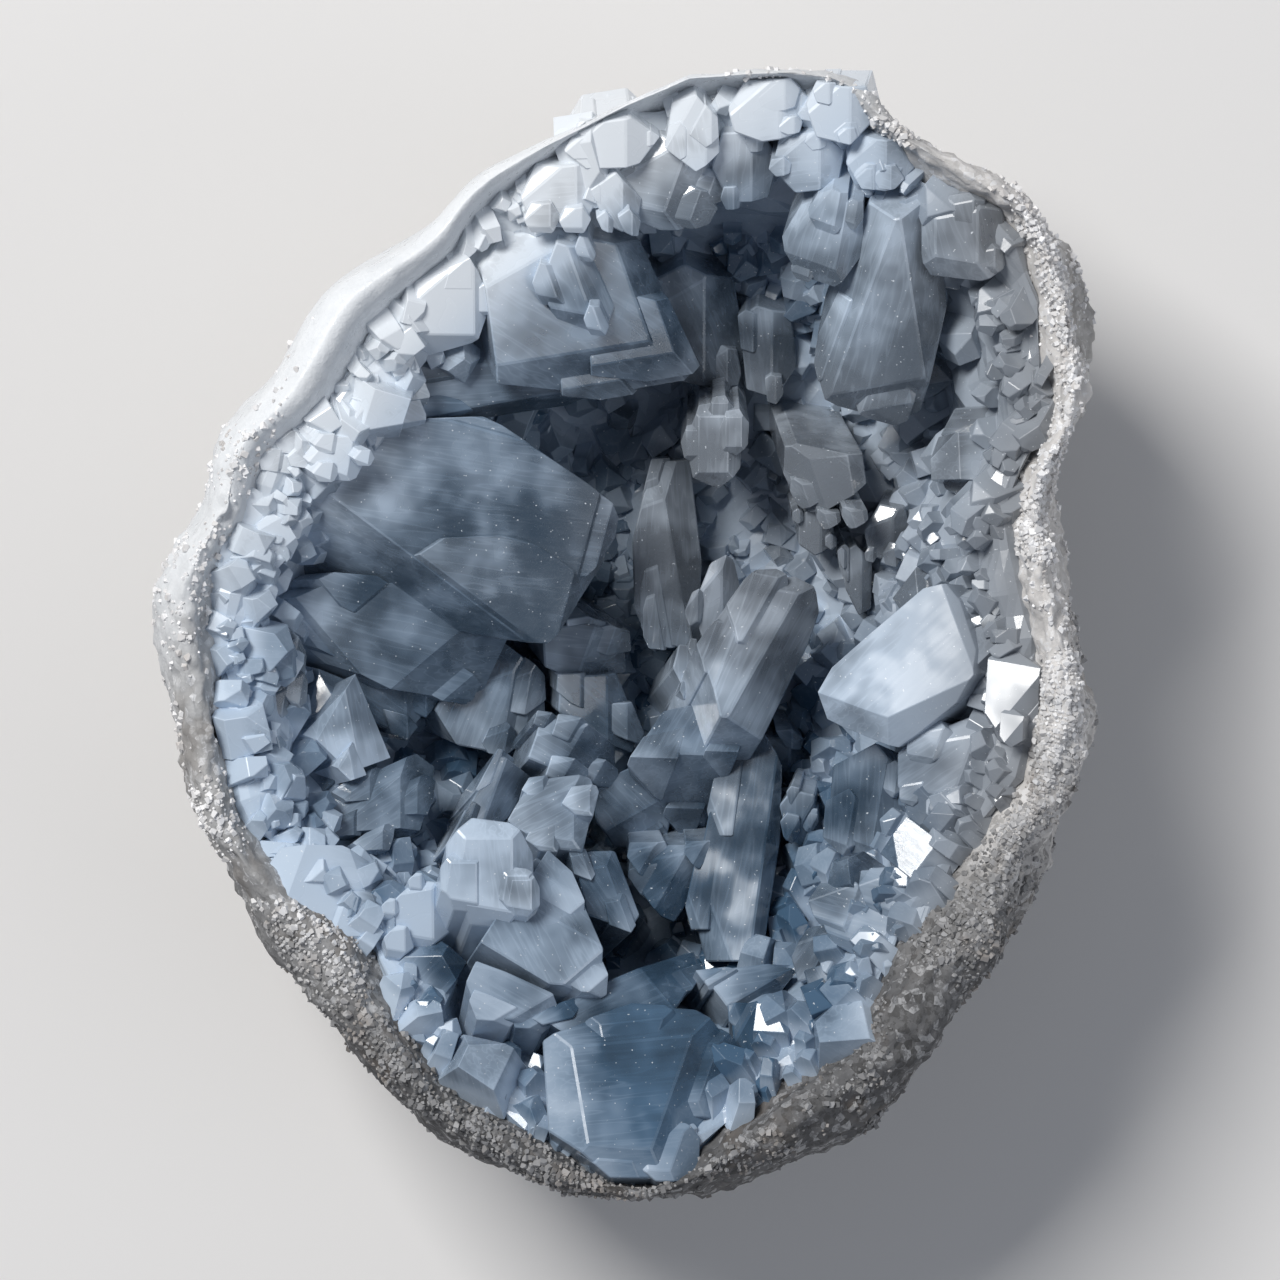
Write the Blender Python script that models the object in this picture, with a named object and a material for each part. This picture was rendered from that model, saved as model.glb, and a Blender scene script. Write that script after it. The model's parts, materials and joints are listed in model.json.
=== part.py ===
"""Celestite geode: one half of a hollow nodule, lined with blue celestite crystals.

The piece lies on the back of its rind with the hollow facing up. X and Y run across the
mouth of the hollow, Z runs out of it, and the origin is the middle of the resting spot.
The rind is a sphere primitive shaped by an outline and a profile. The crystals are blocks
cleaved by planes, fused with a lining of druse into one crust that sits in the hollow.
"""
import math
import random

import bmesh
import bpy
import numpy as np
from mathutils import Vector

# Driving dimensions, in millimetres, seen straight down into the hollow
OUTLINE = [
    (6.4, 57.2), (16.4, 57.7), (22.9, 56.6), (27.9, 52.2), (35.9, 48.0), (40.9, 45.2),
    (45.4, 38.5), (47.3, 30.8), (47.6, 24.0), (45.1, 17.8), (44.4, 13.3), (45.2, 6.8),
    (47.0, -6.2), (45.4, -16.2), (41.9, -24.2), (37.4, -33.2), (31.4, -42.7), (24.4, -50.0),
    (14.4, -54.2), (5.4, -57.4), (-3.6, -57.5), (-13.6, -53.4), (-22.6, -48.2), (-31.6, -37.7),
    (-38.6, -28.2), (-43.6, -18.7), (-46.6, -6.2), (-47.8, 2.8), (-46.6, 7.8), (-43.6, 13.6),
    (-41.6, 20.8), (-36.0, 27.0), (-31.6, 34.0), (-28.0, 37.4), (-20.1, 42.0), (-14.6, 47.3),
    (-2.6, 53.3),
]
# Middle of the whole stone, lumps included, which the origin lies under
MIDDLE = (0.25, -0.11)
# Rim: compass angle in degrees, width of the band of rind, height of its crest
RIM = [
    (0, 5.5, 49.5), (25, 6.5, 50.5), (50, 4.5, 51.0), (70, 2.6, 51.5), (90, 2.2, 52.0),
    (112, 4.0, 52.5), (135, 7.0, 53.5), (158, 6.5, 54.0), (180, 6.5, 53.0), (205, 5.0, 51.5),
    (228, 9.0, 50.5), (250, 6.0, 50.0), (272, 4.0, 50.0), (295, 9.0, 49.0), (315, 10.0, 49.0),
    (338, 6.5, 49.0),
]
# Profile of the outside, from the resting spot to the shoulder: shares of reach and of height
OUTSIDE = [
    (0.0, 0.0), (0.23, 0.0), (0.42, 0.03), (0.62, 0.105), (0.79, 0.23), (0.92, 0.41),
    (0.985, 0.58), (1.0, 0.73), (0.99, 0.86),
]
# Profile of the crest: shares of the rim's width counted inwards, and of height
CREST = [(0.2, 0.95), (0.5, 1.0), (0.8, 0.985), (1.0, 0.93)]
# Profile of the hollow, from the lip to the middle of its floor: shares of reach and of height
HOLLOW = [(0.96, 0.86), (0.89, 0.71), (0.79, 0.55), (0.64, 0.40), (0.42, 0.28), (0.0, 0.21)]
# The sphere's rings crowd on the outside and the rim: share of rings, share of length
RING_STEPS = (0.0, 0.74, 1.0)
LENGTH_STEPS = (0.0, 0.60, 1.0)

RIND_SEGMENTS = 58
RIND_RINGS = 30
LINING_SEGMENTS = 24
LINING_RINGS = 16
LINING_DEPTH = 2.6
LINING_BITE = 1.5
CRUST_GAP = 0.5
ROOT_WIDTH = 0.75
RIM_DRUSE_COUNT = 36
FLOOR_DRUSE_COUNT = 12
DRUSE_SEED = 17
FLAT_ANGLE = 0.3
MM = 0.001

# Large crystals. root is where a crystal leaves the wall and outline is its front seen from
# above. The front face has its height at the middle of the outline and falls towards a compass
# angle by a slope. A bevel starts at a point and falls away towards an angle, by a slope more.
CRYSTALS = {
    "great_blade": dict(
        root=(-47, 12, 20), height=43.5, fall=(-20, 0.35),
        outline=[(-41, 13), (-39.5, 17), (-29.5, 21.5), (-14.2, 22.2), (-4, 15.9), (-1.5, 12.6),
                 (-2.2, 7.8), (-8.1, -0.3), (-12, -0.2), (-36.6, 4)],
        bevels=[(-15, 21.2, 75, 1.6), (-18, 5.6, -127, 1.2), (-4.6, 8, -15, 1.4)],
    ),
    "striped_blade": dict(
        root=(-46, 0, 18), height=38.5, fall=(-60, 0.35),
        outline=[(-36, 2), (-34, 4), (-29, 6), (-17, 5), (-12.1, 0), (-14.6, -5.2), (-17, -6.4),
                 (-24, -5.2), (-30.6, -2.6)],
        bevels=[(-20, -1.8, -50, 0.7), (-30, 0, -140, 0.9)],
    ),
    "keel_tip": dict(
        root=(-36, -5, 16), height=34.5, fall=(-70, 0.5),
        outline=[(-29, -1), (-22, -3), (-19.4, -6), (-22.6, -10.2), (-27, -8)],
        bevels=[(-22.6, -6.5, 0, 0.8)],
    ),
    "upper_mass": dict(
        root=(-16, 50, 20), height=44.5, fall=(-35, 0.5),
        outline=[(-14.6, 36.8), (-12.6, 40.3), (-6.6, 41.2), (1.4, 40.3), (7.4, 27.8), (6.4, 26.6),
                 (-2.6, 24.6), (-13, 25.5)],
        bevels=[(1, 34, 20, 1.1), (-9, 38, 120, 0.9), (-4, 29, -80, 0.5)],
    ),
    "pale_tusk": dict(
        root=(-4, 46, 26), height=47, fall=(-60, 0.4),
        outline=[(-8.6, 35.5), (-7, 39.6), (-4, 39.4), (-1.1, 33.5), (-2.4, 30.8), (-6.4, 31)],
        bevels=[(-4.4, 35, 20, 0.9), (-6.4, 33, -100, 1.1)],
    ),
    "under_shelf": dict(
        root=(-30, 38, 20), height=41.5, fall=(-60, 0.4),
        outline=[(-21.6, 27), (-14.6, 30.6), (-6, 28), (-2.6, 25), (-6.1, 23.6), (-14.2, 22.3),
                 (-20.6, 22.3)],
        bevels=[(-12, 27.6, 90, 0.8), (-12, 24, -80, 1.6)],
    ),
    "white_shelf": dict(
        root=(-30, 44, 30), height=49, fall=(-60, 0.35),
        outline=[(-22, 30.5), (-21, 35.6), (-15.6, 38), (-13.4, 34), (-15.4, 29.6), (-20.5, 28.2)],
        bevels=[(-18, 30.4, -90, 1.3), (-15.2, 34, 0, 1.2), (-19, 35.4, 130, 0.7)],
    ),
    "facet_block": dict(
        root=(-34, 32, 24), height=47, fall=(-30, 0.5),
        outline=[(-27.6, 25.4), (-25.6, 28.2), (-21.6, 28), (-20.2, 24.6), (-21, 21.6), (-26, 21.8)],
        bevels=[(-23.5, 23, -80, 1), (-25.6, 26.4, 120, 0.6)],
    ),
    "frosted_knob": dict(
        root=(-41, 25, 34), height=50.5, fall=(-45, 0.2),
        outline=[(-32.2, 18), (-30.4, 20.2), (-27, 20.2), (-26, 18), (-27, 16), (-30.6, 15.8)],
        bevels=[(-27.6, 18, -10, 1), (-30, 17, -110, 0.9), (-30.5, 19, 140, 0.7)],
    ),
    "lens_left": dict(
        root=(-45, 22, 34), height=50, fall=(-60, 0.2),
        outline=[(-37.2, 18.6), (-35, 21), (-32.6, 20.6), (-31.8, 18), (-33.6, 16.4), (-36.4, 16.8)],
        bevels=[(-33.2, 18.4, -10, 1), (-35.6, 19.6, 130, 0.7)],
    ),
    "bright_root": dict(
        root=(-48, 14, 30), height=49.5, fall=(-30, 0.45),
        outline=[(-42, 8), (-41.6, 13.4), (-39, 16), (-35.6, 14), (-33.4, 9.6), (-35, 6.4),
                 (-39.5, 6)],
        bevels=[(-36, 9, -50, 0.8), (-40, 13, 120, 0.8)],
    ),
    "egg_left": dict(
        root=(-46, -2, 28), height=47, fall=(-20, 0.4),
        outline=[(-40.8, 0.6), (-37.4, 1.4), (-36.2, -2), (-37, -5.4), (-40.6, -4.4)],
        bevels=[(-37.6, -3, -50, 1), (-39.4, -0.4, 120, 0.8)],
    ),
    "egg_right": dict(
        root=(-43, -4, 26), height=44.5, fall=(-30, 0.4),
        outline=[(-36.4, 0.2), (-34, 1), (-32.2, -1.6), (-32.6, -6), (-35, -7.4), (-37, -4.6)],
        bevels=[(-33.6, -3, -10, 1), (-35.4, -1.4, 120, 0.9), (-35, -6, -110, 0.9)],
    ),
    "cold_pyramid": dict(
        root=(-40, -14, 22), height=41, fall=(-60, 0.3),
        outline=[(-32.8, -9.8), (-27.4, -3.6), (-24, -12.2), (-28, -13.6)],
        bevels=[(-28, -7.6, 10, 0.9), (-29.6, -7.4, 150, 0.8)],
    ),
    "leaf_slab": dict(
        root=(-41, -27, 14), height=39, fall=(20, 0.35),
        outline=[(-33.3, -20.2), (-31.6, -17.4), (-28.1, -14.7), (-21.4, -11.8), (-19.6, -13.2),
                 (-20, -16.4), (-22.8, -25), (-25.6, -22.2), (-29.1, -19.7)],
        bevels=[(-23, -15.2, 0, 0.9), (-27, -17.4, 130, 0.5)],
    ),
    "pale_hump": dict(
        root=(-38, -31, 26), height=48, fall=(-20, 0.3),
        outline=[(-37, -24.4), (-34.6, -21), (-28.4, -20.8), (-23, -24.6), (-24.6, -29.6),
                 (-29, -31.6), (-34.6, -30.6)],
        bevels=[(-26.6, -24.4, 20, 0.9), (-33.6, -25, 160, 0.7), (-29, -29.4, -90, 0.8)],
    ),
    "hump_shoulder": dict(
        root=(-26, -36, 28), height=46.5, fall=(-60, 0.3),
        outline=[(-24, -27), (-21, -24.2), (-18.6, -24.8), (-17.4, -29.4), (-20.4, -32),
                 (-23.6, -31.4)],
        bevels=[(-19.4, -28, 0, 1.1), (-21, -25.4, 100, 0.8), (-21.4, -30, -100, 0.9)],
    ),
    "white_knob": dict(
        root=(-19, -37, 24), height=50, fall=(-60, 0.25),
        outline=[(-18, -20.6), (-15.4, -17.9), (-11.6, -18.4), (-9.3, -21.6), (-9.2, -26.4),
                 (-12, -29.2), (-15.6, -28.8), (-18, -25)],
        bevels=[(-11.4, -23, 0, 1), (-14.4, -20, 90, 0.9), (-14, -27, -100, 1),
                (-16.6, -23, 170, 0.8)],
    ),
    "front_blade": dict(
        root=(-16, -42, 20), height=46, fall=(30, 0.35),
        outline=[(-9.2, -22.2), (-6.4, -22), (-4.6, -26), (0.6, -30.7), (-2.1, -35.2),
                 (-3.6, -36.1), (-7.6, -34.7), (-14.6, -30.4)],
        bevels=[(-7, -28.4, 60, 0.7), (-4.2, -33, -50, 1)],
    ),
    "p6_wedge": dict(
        root=(-8, -34, 14), height=39, fall=(30, 0.4),
        outline=[(-5.6, -21.7), (-1.1, -21.7), (1.4, -28.2), (0.4, -29.7), (-4, -28)],
        bevels=[(-1.4, -25, 20, 0.8), (-3.6, -23.4, 100, 0.6)],
    ),
    "p3_pale": dict(
        root=(-12, -31, 14), height=40.5, fall=(40, 0.35),
        outline=[(-9.6, -14.4), (-3.6, -14.2), (-3, -15.7), (-4.4, -21.7), (-8.6, -21.2),
                 (-12, -18.4)],
        bevels=[(-5.4, -17.6, 0, 0.9), (-9, -16.4, 110, 0.6), (-8, -20, -100, 0.7)],
    ),
    "p2_grey": dict(
        root=(-22, -26, 14), height=38, fall=(-30, 0.4),
        outline=[(-18, -20.8), (-13.1, -11.8), (-9.6, -14.2), (-12.1, -18.4), (-17.4, -21.2)],
        bevels=[(-13.4, -15.6, -20, 0.9)],
    ),
    "p1_streak": dict(
        root=(-14, -20, 10), height=36, fall=(-45, 0.4),
        outline=[(-10, -12.2), (-8.6, -7.7), (-5.1, -8.4), (-1.1, -10.4), (-1.1, -15.2), (-6, -14.4)],
        bevels=[(-5.4, -11, -30, 0.9), (-7.6, -9.6, 100, 0.6)],
    ),
    "deep_slab_a": dict(
        root=(-24, -4, 6), height=30.5, fall=(-40, 0.4),
        outline=[(-19.6, -7.4), (-17, -1.6), (-12.6, -0.4), (-8.8, -4), (-8.6, -9), (-12.6, -12),
                 (-17.4, -11)],
        bevels=[(-12, -6, -10, 0.7), (-16, -5, 110, 0.4)],
    ),
    "deep_slab_b": dict(
        root=(-12, 6, 6), height=29, fall=(-60, 0.4),
        outline=[(-8.6, 0.8), (-4, 1.6), (-0.2, 0.4), (0, -3.6), (-4.6, -4.6), (-8.4, -3)],
        bevels=[(-4, -1.2, -20, 0.8)],
    ),
    "deep_slab_c": dict(
        root=(-10, -3, 4), height=27.5, fall=(-30, 0.4),
        outline=[(-6.8, -4), (-1, -3.6), (1.4, -9.6), (0.6, -12), (-4, -10.2), (-7, -7.6)],
        bevels=[(-2, -7, 0, 0.7)],
    ),
    "dusty_slab": dict(
        root=(4, 12, 4), height=26.5, fall=(0, 0.3),
        outline=[(0.6, 10), (2.6, 18.2), (6.6, 18.6), (7.8, 8), (7.4, -1), (2.4, -0.6), (0.8, 3)],
        bevels=[(5, 8, 10, 0.9), (3, 14, 110, 0.5)],
    ),
    "lens_mid": dict(
        root=(12, -14, 6), height=31.5, fall=(-60, 0.4),
        outline=[(6.8, 3), (8.6, 7.8), (11, 8.2), (11.8, 5), (10.6, 0.6), (8, -0.4)],
        bevels=[(9.8, 4, 0, 0.8), (8.4, 5.6, 140, 0.6)],
    ),
    "tall_blue": dict(
        root=(4, -20, 6), height=34.5, fall=(40, 0.35),
        outline=[(13.4, 6.2), (17.4, 6.4), (19.6, 4.8), (19.9, 2.8), (18.8, -0.4), (13.9, -10.4),
                 (9.6, -8), (7.4, -0.6), (11, 4.4)],
        bevels=[(15.4, 0.8, -30, 0.9), (15, 5, 80, 0.9), (10.4, -1, 160, 0.4)],
    ),
    "side_scale": dict(
        root=(2, -8, 8), height=31, fall=(-40, 0.3),
        outline=[(5.4, -0.6), (7, -0.8), (7.6, -4.8), (6, -5.6), (4.8, -3)],
        bevels=[(6.4, -3, -20, 0.9)],
    ),
    "roof_pyramid": dict(
        root=(6, -20, 4), height=34, fall=(60, 0.45),
        outline=[(0.6, -12.4), (3.2, -7.6), (13.9, -5.6), (11.4, -11.4), (7.6, -21), (6.2, -20.4),
                 (0.2, -13.4)],
        bevels=[(5, -11.8, -92, 1.5), (11, -10.6, -15, 0.9)],
    ),
    "p5_slope": dict(
        root=(-2, -22, 6), height=29, fall=(-30, 0.3),
        outline=[(-3.4, -15), (0.6, -13.2), (4.6, -18.6), (4, -21.6), (-1.2, -21.6), (-3.2, -18.8)],
        bevels=[(1, -18, -60, 0.7)],
    ),
    "p8_point": dict(
        root=(3, -19, 6), height=33, fall=(60, 0.35),
        outline=[(0.9, -21.3), (8.6, -21), (9.4, -23), (4.9, -29.2), (3.6, -28.6), (0.4, -24.4)],
        bevels=[(4.6, -24.6, -30, 0.9), (3, -22.6, 100, 0.6)],
    ),
    "long_slab": dict(
        root=(11, -26, 4), height=31.5, fall=(120, 0.22),
        outline=[(9.8, -12), (14, -9.4), (16, -13), (15.9, -20.2), (13.9, -33.2), (8.2, -33.2),
                 (6.6, -27)],
        bevels=[(14.4, -20, -8, 1.5), (9, -28, 200, 0.6)],
    ),
    "brown_tip": dict(
        root=(20, -13, 8), height=30, fall=(-30, 0.3),
        outline=[(15.7, -17.2), (17, -15.6), (19.4, -16.2), (19.6, -19), (18, -21.6), (16.4, -20.2)],
        bevels=[(18.2, -18.6, -30, 0.9)],
    ),
    "channel_scale": dict(
        root=(14, -4, 2), height=22, fall=(-60, 0.4),
        outline=[(12.4, -10.6), (17, -10.2), (20.4, -13), (19.4, -16), (15, -15)],
        bevels=[(17, -12.6, 0, 0.6)],
    ),
    "violet_sheet": dict(
        root=(-4, -44, 16), height=43, fall=(60, 0.5),
        outline=[(-9.6, -38), (-5.6, -36.2), (0, -32.2), (6.4, -30.4), (7.6, -34), (4.4, -38.4),
                 (-5, -40.4)],
        bevels=[(2, -34.2, 40, 0.6), (-6, -37.4, 130, 0.8)],
    ),
    "p10_pale": dict(
        root=(8, -44, 18), height=40.5, fall=(70, 0.3),
        outline=[(7.6, -33.8), (14.4, -33), (17.4, -33.8), (14.4, -37.6), (10.6, -38.4)],
        bevels=[(12.4, -36, -60, 1)],
    ),
    "p10_deep": dict(
        root=(14, -50, 20), height=41, fall=(20, 0.4),
        outline=[(10.6, -37.4), (14.4, -36.6), (18.6, -37.6), (18.4, -44), (14.4, -45.6), (11, -43)],
        bevels=[(15.6, -41, -20, 0.9), (12, -39, 150, 0.6)],
    ),
    "blue_foot": dict(
        root=(-15, -46, 28), height=48, fall=(-10, 0.3),
        outline=[(-14.6, -31.6), (-12, -32), (-7.4, -35.6), (-6, -37.4), (-8.6, -39.6),
                 (-14.6, -38), (-16, -34.4)],
        bevels=[(-9.4, -37, -60, 0.9), (-12, -33.4, 80, 0.8)],
    ),
    "bottom_great": dict(
        root=(1, -55, 26), height=48.5, fall=(60, 0.3),
        outline=[(-8.4, -40.4), (0.6, -37), (7, -37.4), (11.4, -42), (11, -50), (5.4, -54.6),
                 (-1.6, -54), (-7.8, -49.4)],
        bevels=[(4.4, -46, -20, 0.8), (-1, -40.6, 95, 0.6), (-4.6, -46, 190, 0.6),
                (1, -51, -95, 0.6)],
    ),
    "arrowhead": dict(
        root=(44, -2, 20), height=45.5, fall=(150, 0.22),
        outline=[(19.3, -5.5), (20.7, -3), (24.4, 0.3), (29.9, 5), (32.2, 5.5), (33.6, 3.8),
                 (35.2, -1.2), (34.9, -3.7), (32.9, -7.2), (29.4, -9.7), (27.7, -11.1), (21.9, -9),
                 (20.3, -8.2)],
        bevels=[(28, -7.2, -65, 0.9), (22.5, -6.6, -110, 0.9), (33, 2, 20, 1)],
    ),
    "right_tablet": dict(
        root=(47, -4, 28), height=47.5, fall=(150, 0.3),
        outline=[(36.4, -2), (38.4, -0.7), (41.6, -3), (41.4, -8.6), (38.6, -10.2), (36, -7.4)],
        bevels=[(39.6, -6, -40, 0.9), (38, -2.4, 80, 0.8)],
    ),
    "right_bead": dict(
        root=(46, 4, 26), height=45, fall=(150, 0.2),
        outline=[(35.9, 1.6), (37.2, 3.3), (39, 2.6), (38.8, 0.4), (37, -0.4)],
        bevels=[(38, 1, -30, 0.9), (36.6, 2, 140, 0.6)],
    ),
    "right_block": dict(
        root=(45, -15, 22), height=43.5, fall=(170, 0.3),
        outline=[(27.4, -11.6), (30, -9.8), (34.6, -8), (37.4, -10.6), (36.4, -15.4), (32, -18),
                 (28, -16.4)],
        bevels=[(34, -13, -20, 0.9), (31, -15.6, -100, 0.9), (32, -10.4, 100, 0.6)],
    ),
    "shade_block": dict(
        root=(38, -21, 16), height=37.5, fall=(180, 0.35),
        outline=[(21, -13), (25.4, -10.6), (28, -13.4), (28.6, -20.4), (24.4, -23.4), (20.6, -20)],
        bevels=[(25.6, -17, -10, 0.8), (23.4, -20.6, -110, 0.8)],
    ),
    "pale_lump": dict(
        root=(39, -35, 22), height=43.5, fall=(160, 0.3),
        outline=[(19.2, -26.6), (21.4, -23.6), (28, -23.2), (30.9, -26.2), (30, -31.4), (26, -33.7),
                 (21, -31)],
        bevels=[(27, -28, -20, 0.8), (23, -25.6, 110, 0.7), (24, -31, -110, 0.9)],
    ),
    "fang_a": dict(
        root=(28, -38, 20), height=40, fall=(160, 0.35),
        outline=[(16.7, -32.4), (18.4, -29.4), (21.6, -28.8), (21.9, -31.6), (19.6, -34.6),
                 (17.4, -34.9)],
        bevels=[(19.8, -32, -30, 1), (18.6, -30.6, 110, 0.7)],
    ),
    "fang_b": dict(
        root=(28, -44, 24), height=42, fall=(160, 0.35),
        outline=[(17.9, -33.6), (20.4, -32.8), (22.4, -33.6), (22, -36), (20.6, -37.4), (18.6, -36)],
        bevels=[(20.6, -35, -30, 1)],
    ),
    "milk_tooth": dict(
        root=(36, -32, 26), height=45, fall=(160, 0.3),
        outline=[(29.4, -27.6), (30.4, -26.2), (33.2, -26.4), (33.6, -29.4), (32, -31.4),
                 (30, -30.6)],
        bevels=[(32, -28.8, -20, 0.9)],
    ),
    "great_tooth": dict(
        root=(32, 56, 22), height=43.5, fall=(-92, 0.5),
        outline=[(24.4, 43.8), (29.8, 43.9), (32.3, 35.8), (32.4, 33.3), (31.2, 27.8), (29.9, 23),
                 (27.4, 22), (21.4, 23.5), (19.6, 25.8), (19.2, 27.8), (19.4, 30.8), (20.2, 34.8)],
        bevels=[(22.6, 30, 160, 1.1), (29.6, 30, 10, 1), (26, 25.6, -80, 0.9)],
    ),
    "clear_cap": dict(
        root=(23, 54, 28), height=47, fall=(-120, 0.25),
        outline=[(15.7, 40.4), (17.6, 43.6), (20.6, 44.5), (23.8, 43.8), (23.9, 38.8), (21, 35.4),
                 (17.4, 36.6)],
        bevels=[(21.6, 40, -10, 0.9), (18, 41.4, 140, 0.7), (19.4, 37.6, -110, 0.9)],
    ),
    "silver_cap": dict(
        root=(42, 50, 30), height=48.5, fall=(-120, 0.2),
        outline=[(29.8, 44), (34.4, 44.6), (37.8, 43), (37.9, 37), (35.6, 35.8), (30.6, 36.4),
                 (29.6, 38.4)],
        bevels=[(35.2, 40, 0, 0.8), (33, 42.4, 100, 0.7), (33, 38, -100, 0.9), (31, 40, 180, 0.7)],
    ),
    "recess_egg": dict(
        root=(45, 32, 20), height=37, fall=(-150, 0.3),
        outline=[(32.9, 30), (34.4, 33.8), (37.4, 34.4), (39.9, 31.6), (39.4, 28.4), (35.4, 28)],
        bevels=[(37.6, 31, 0, 0.8), (35, 31.6, 140, 0.6)],
    ),
    "gleam_flat": dict(
        root=(44, 24, 18), height=37.5, fall=(-150, 0.3),
        outline=[(32, 20.6), (33.4, 23.4), (37, 23.6), (38.4, 21), (37.4, 19.4), (33.8, 19.2)],
        bevels=[(35.6, 20.8, -90, 0.8)],
    ),
    "right_gem": dict(
        root=(44, 16, 18), height=38, fall=(-160, 0.3),
        outline=[(31.9, 17.8), (34.4, 19.8), (38, 18.4), (38.6, 15.4), (35.9, 13.7), (32.4, 15.2)],
        bevels=[(36, 16.6, -20, 0.9), (34, 18, 120, 0.6)],
    ),
    "arrow_gem": dict(
        root=(17, 28, 4), height=34.5, fall=(-80, 0.3),
        outline=[(16.2, 19.6), (17.4, 19.9), (24.4, 18.9), (25.9, 17), (24.6, 15.8), (25.2, 11.4),
                 (24.4, 10.9), (20.9, 11.4), (17.7, 13.8), (16.1, 16.8)],
        bevels=[(19.8, 15.4, -160, 0.9), (23.2, 15, 10, 0.7), (20, 18.4, 95, 0.8)],
    ),
    "round_bulb": dict(
        root=(9, 30, 6), height=34, fall=(-90, 0.25),
        outline=[(6, 20), (7.4, 23.8), (10, 24.3), (11.9, 21.6), (11.7, 17.4), (9.4, 15.3),
                 (6.8, 16.4)],
        bevels=[(10.4, 20, 0, 0.9), (7.4, 20, 180, 0.8), (9, 17, -90, 0.9), (9, 22.6, 90, 0.7)],
    ),
    "gem_behind": dict(
        root=(30, 18, 6), height=30.5, fall=(-100, 0.3),
        outline=[(24.4, 11), (26, 13.8), (28.6, 13.4), (29.4, 10.4), (27.6, 7.8), (25, 8.4)],
        bevels=[(27.4, 10.6, 0, 0.8), (26.4, 12, 110, 0.6)],
    ),
    "splinter": dict(
        root=(22, 14, 4), height=28.5, fall=(-80, 0.3),
        outline=[(22, 8.6), (23.6, 9.6), (25.4, 8), (25.3, 3), (24, 2.3), (22.6, 5)],
        bevels=[(24.2, 6, 0, 0.9)],
    ),
    "gem_low": dict(
        root=(18, 18, 4), height=31, fall=(-90, 0.3),
        outline=[(17.7, 12.4), (19.4, 13.6), (21.3, 12.4), (21.4, 9.6), (19.4, 8.4), (17.7, 9.6)],
        bevels=[(20, 11, 0, 0.9)],
    ),
    "deep_face": dict(
        root=(6, 46, 8), height=31, fall=(-60, 0.4),
        outline=[(1.4, 36), (6, 38.3), (11, 37), (12.4, 30), (11.4, 26.3), (5, 26.4), (2.4, 30)],
        bevels=[(8, 30, 0, 0.6), (5, 35, 120, 0.4)],
    ),
    "slate_facet": dict(
        root=(16, 42, 4), height=28, fall=(-90, 0.3),
        outline=[(11.6, 33), (13.4, 34.2), (17, 33.6), (17.6, 28), (15.4, 24.8), (12.4, 25.6)],
        bevels=[(15, 29, 0, 0.6)],
    ),
    "top_tooth": dict(
        root=(6, 60, 32), height=50, fall=(-110, 0.25),
        outline=[(3.9, 49), (4.6, 53.6), (7, 54.3), (9.2, 52), (9.4, 48.6), (7, 46.6)],
        bevels=[(8, 50.6, 0, 0.8), (5.6, 51.6, 150, 0.7)],
    ),
    "top_pale": dict(
        root=(15, 60, 30), height=50, fall=(-100, 0.2),
        outline=[(10.2, 53), (12, 55.8), (16.4, 56), (18.4, 54), (17.4, 50.6), (13.6, 49.6),
                 (10.8, 50.6)],
        bevels=[(15.4, 53.4, 0, 0.7), (12.4, 54, 130, 0.7)],
    ),
    "top_right_pale": dict(
        root=(24, 59, 32), height=51, fall=(-110, 0.2),
        outline=[(17.9, 53.4), (19, 55.6), (24, 55.2), (25, 52), (22.4, 49.2), (19, 50)],
        bevels=[(22.4, 52.6, 0, 0.8), (20, 54, 130, 0.6)],
    ),
    "glitter_a": dict(
        root=(19, 57, 30), height=48.5, fall=(-100, 0.3),
        outline=[(14.6, 47), (15.4, 50.2), (19.4, 50.8), (22, 49), (21.4, 45.8), (17, 44.6)],
        bevels=[(19.4, 48, 0, 0.8), (16.6, 49, 130, 0.6)],
    ),
    "glitter_b": dict(
        root=(27, 56, 32), height=49, fall=(-110, 0.3),
        outline=[(22, 47.6), (23, 50.6), (27, 50), (29, 47.2), (27, 45), (23.6, 45)],
        bevels=[(26, 47.8, 0, 0.8), (24, 49, 130, 0.6)],
    ),
    "teal_facet": dict(
        root=(12, 58, 24), height=46.5, fall=(-70, 0.5),
        outline=[(8.6, 47.2), (9.6, 50.6), (13.4, 51), (15.4, 48.4), (14.4, 44.4), (10.4, 43.8)],
        bevels=[(12.6, 47, 0, 0.7)],
    ),
    "round_prism": dict(
        root=(3, 57, 28), height=47.5, fall=(-80, 0.25),
        outline=[(-2.6, 46), (-1, 50), (3.4, 50.6), (7.6, 49), (9.9, 45.4), (8, 42), (3.4, 41),
                 (-0.6, 42.6)],
        bevels=[(5, 46, -20, 0.7), (1, 47, 120, 0.5), (3, 43, -100, 0.9)],
    ),
    "grey_point": dict(
        root=(-3, 55, 30), height=49, fall=(-90, 0.3),
        outline=[(-3.6, 44.8), (-1, 46.6), (1.6, 44), (1, 40.6), (-2, 41.4)],
        bevels=[(-0.4, 43.4, 0, 0.9)],
    ),
    "pale_rim_left": dict(
        root=(-8, 54, 32), height=50, fall=(-70, 0.25),
        outline=[(-10.6, 44), (-9, 47.4), (-4.6, 47.4), (-2.6, 44.4), (-4.6, 41), (-9, 41.2)],
        bevels=[(-5, 44.4, 0, 0.7), (-8.4, 45.4, 130, 0.6), (-7, 42.4, -90, 0.8)],
    ),
    "white_rim_left": dict(
        root=(-2, 59, 32), height=51, fall=(-80, 0.2),
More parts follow.
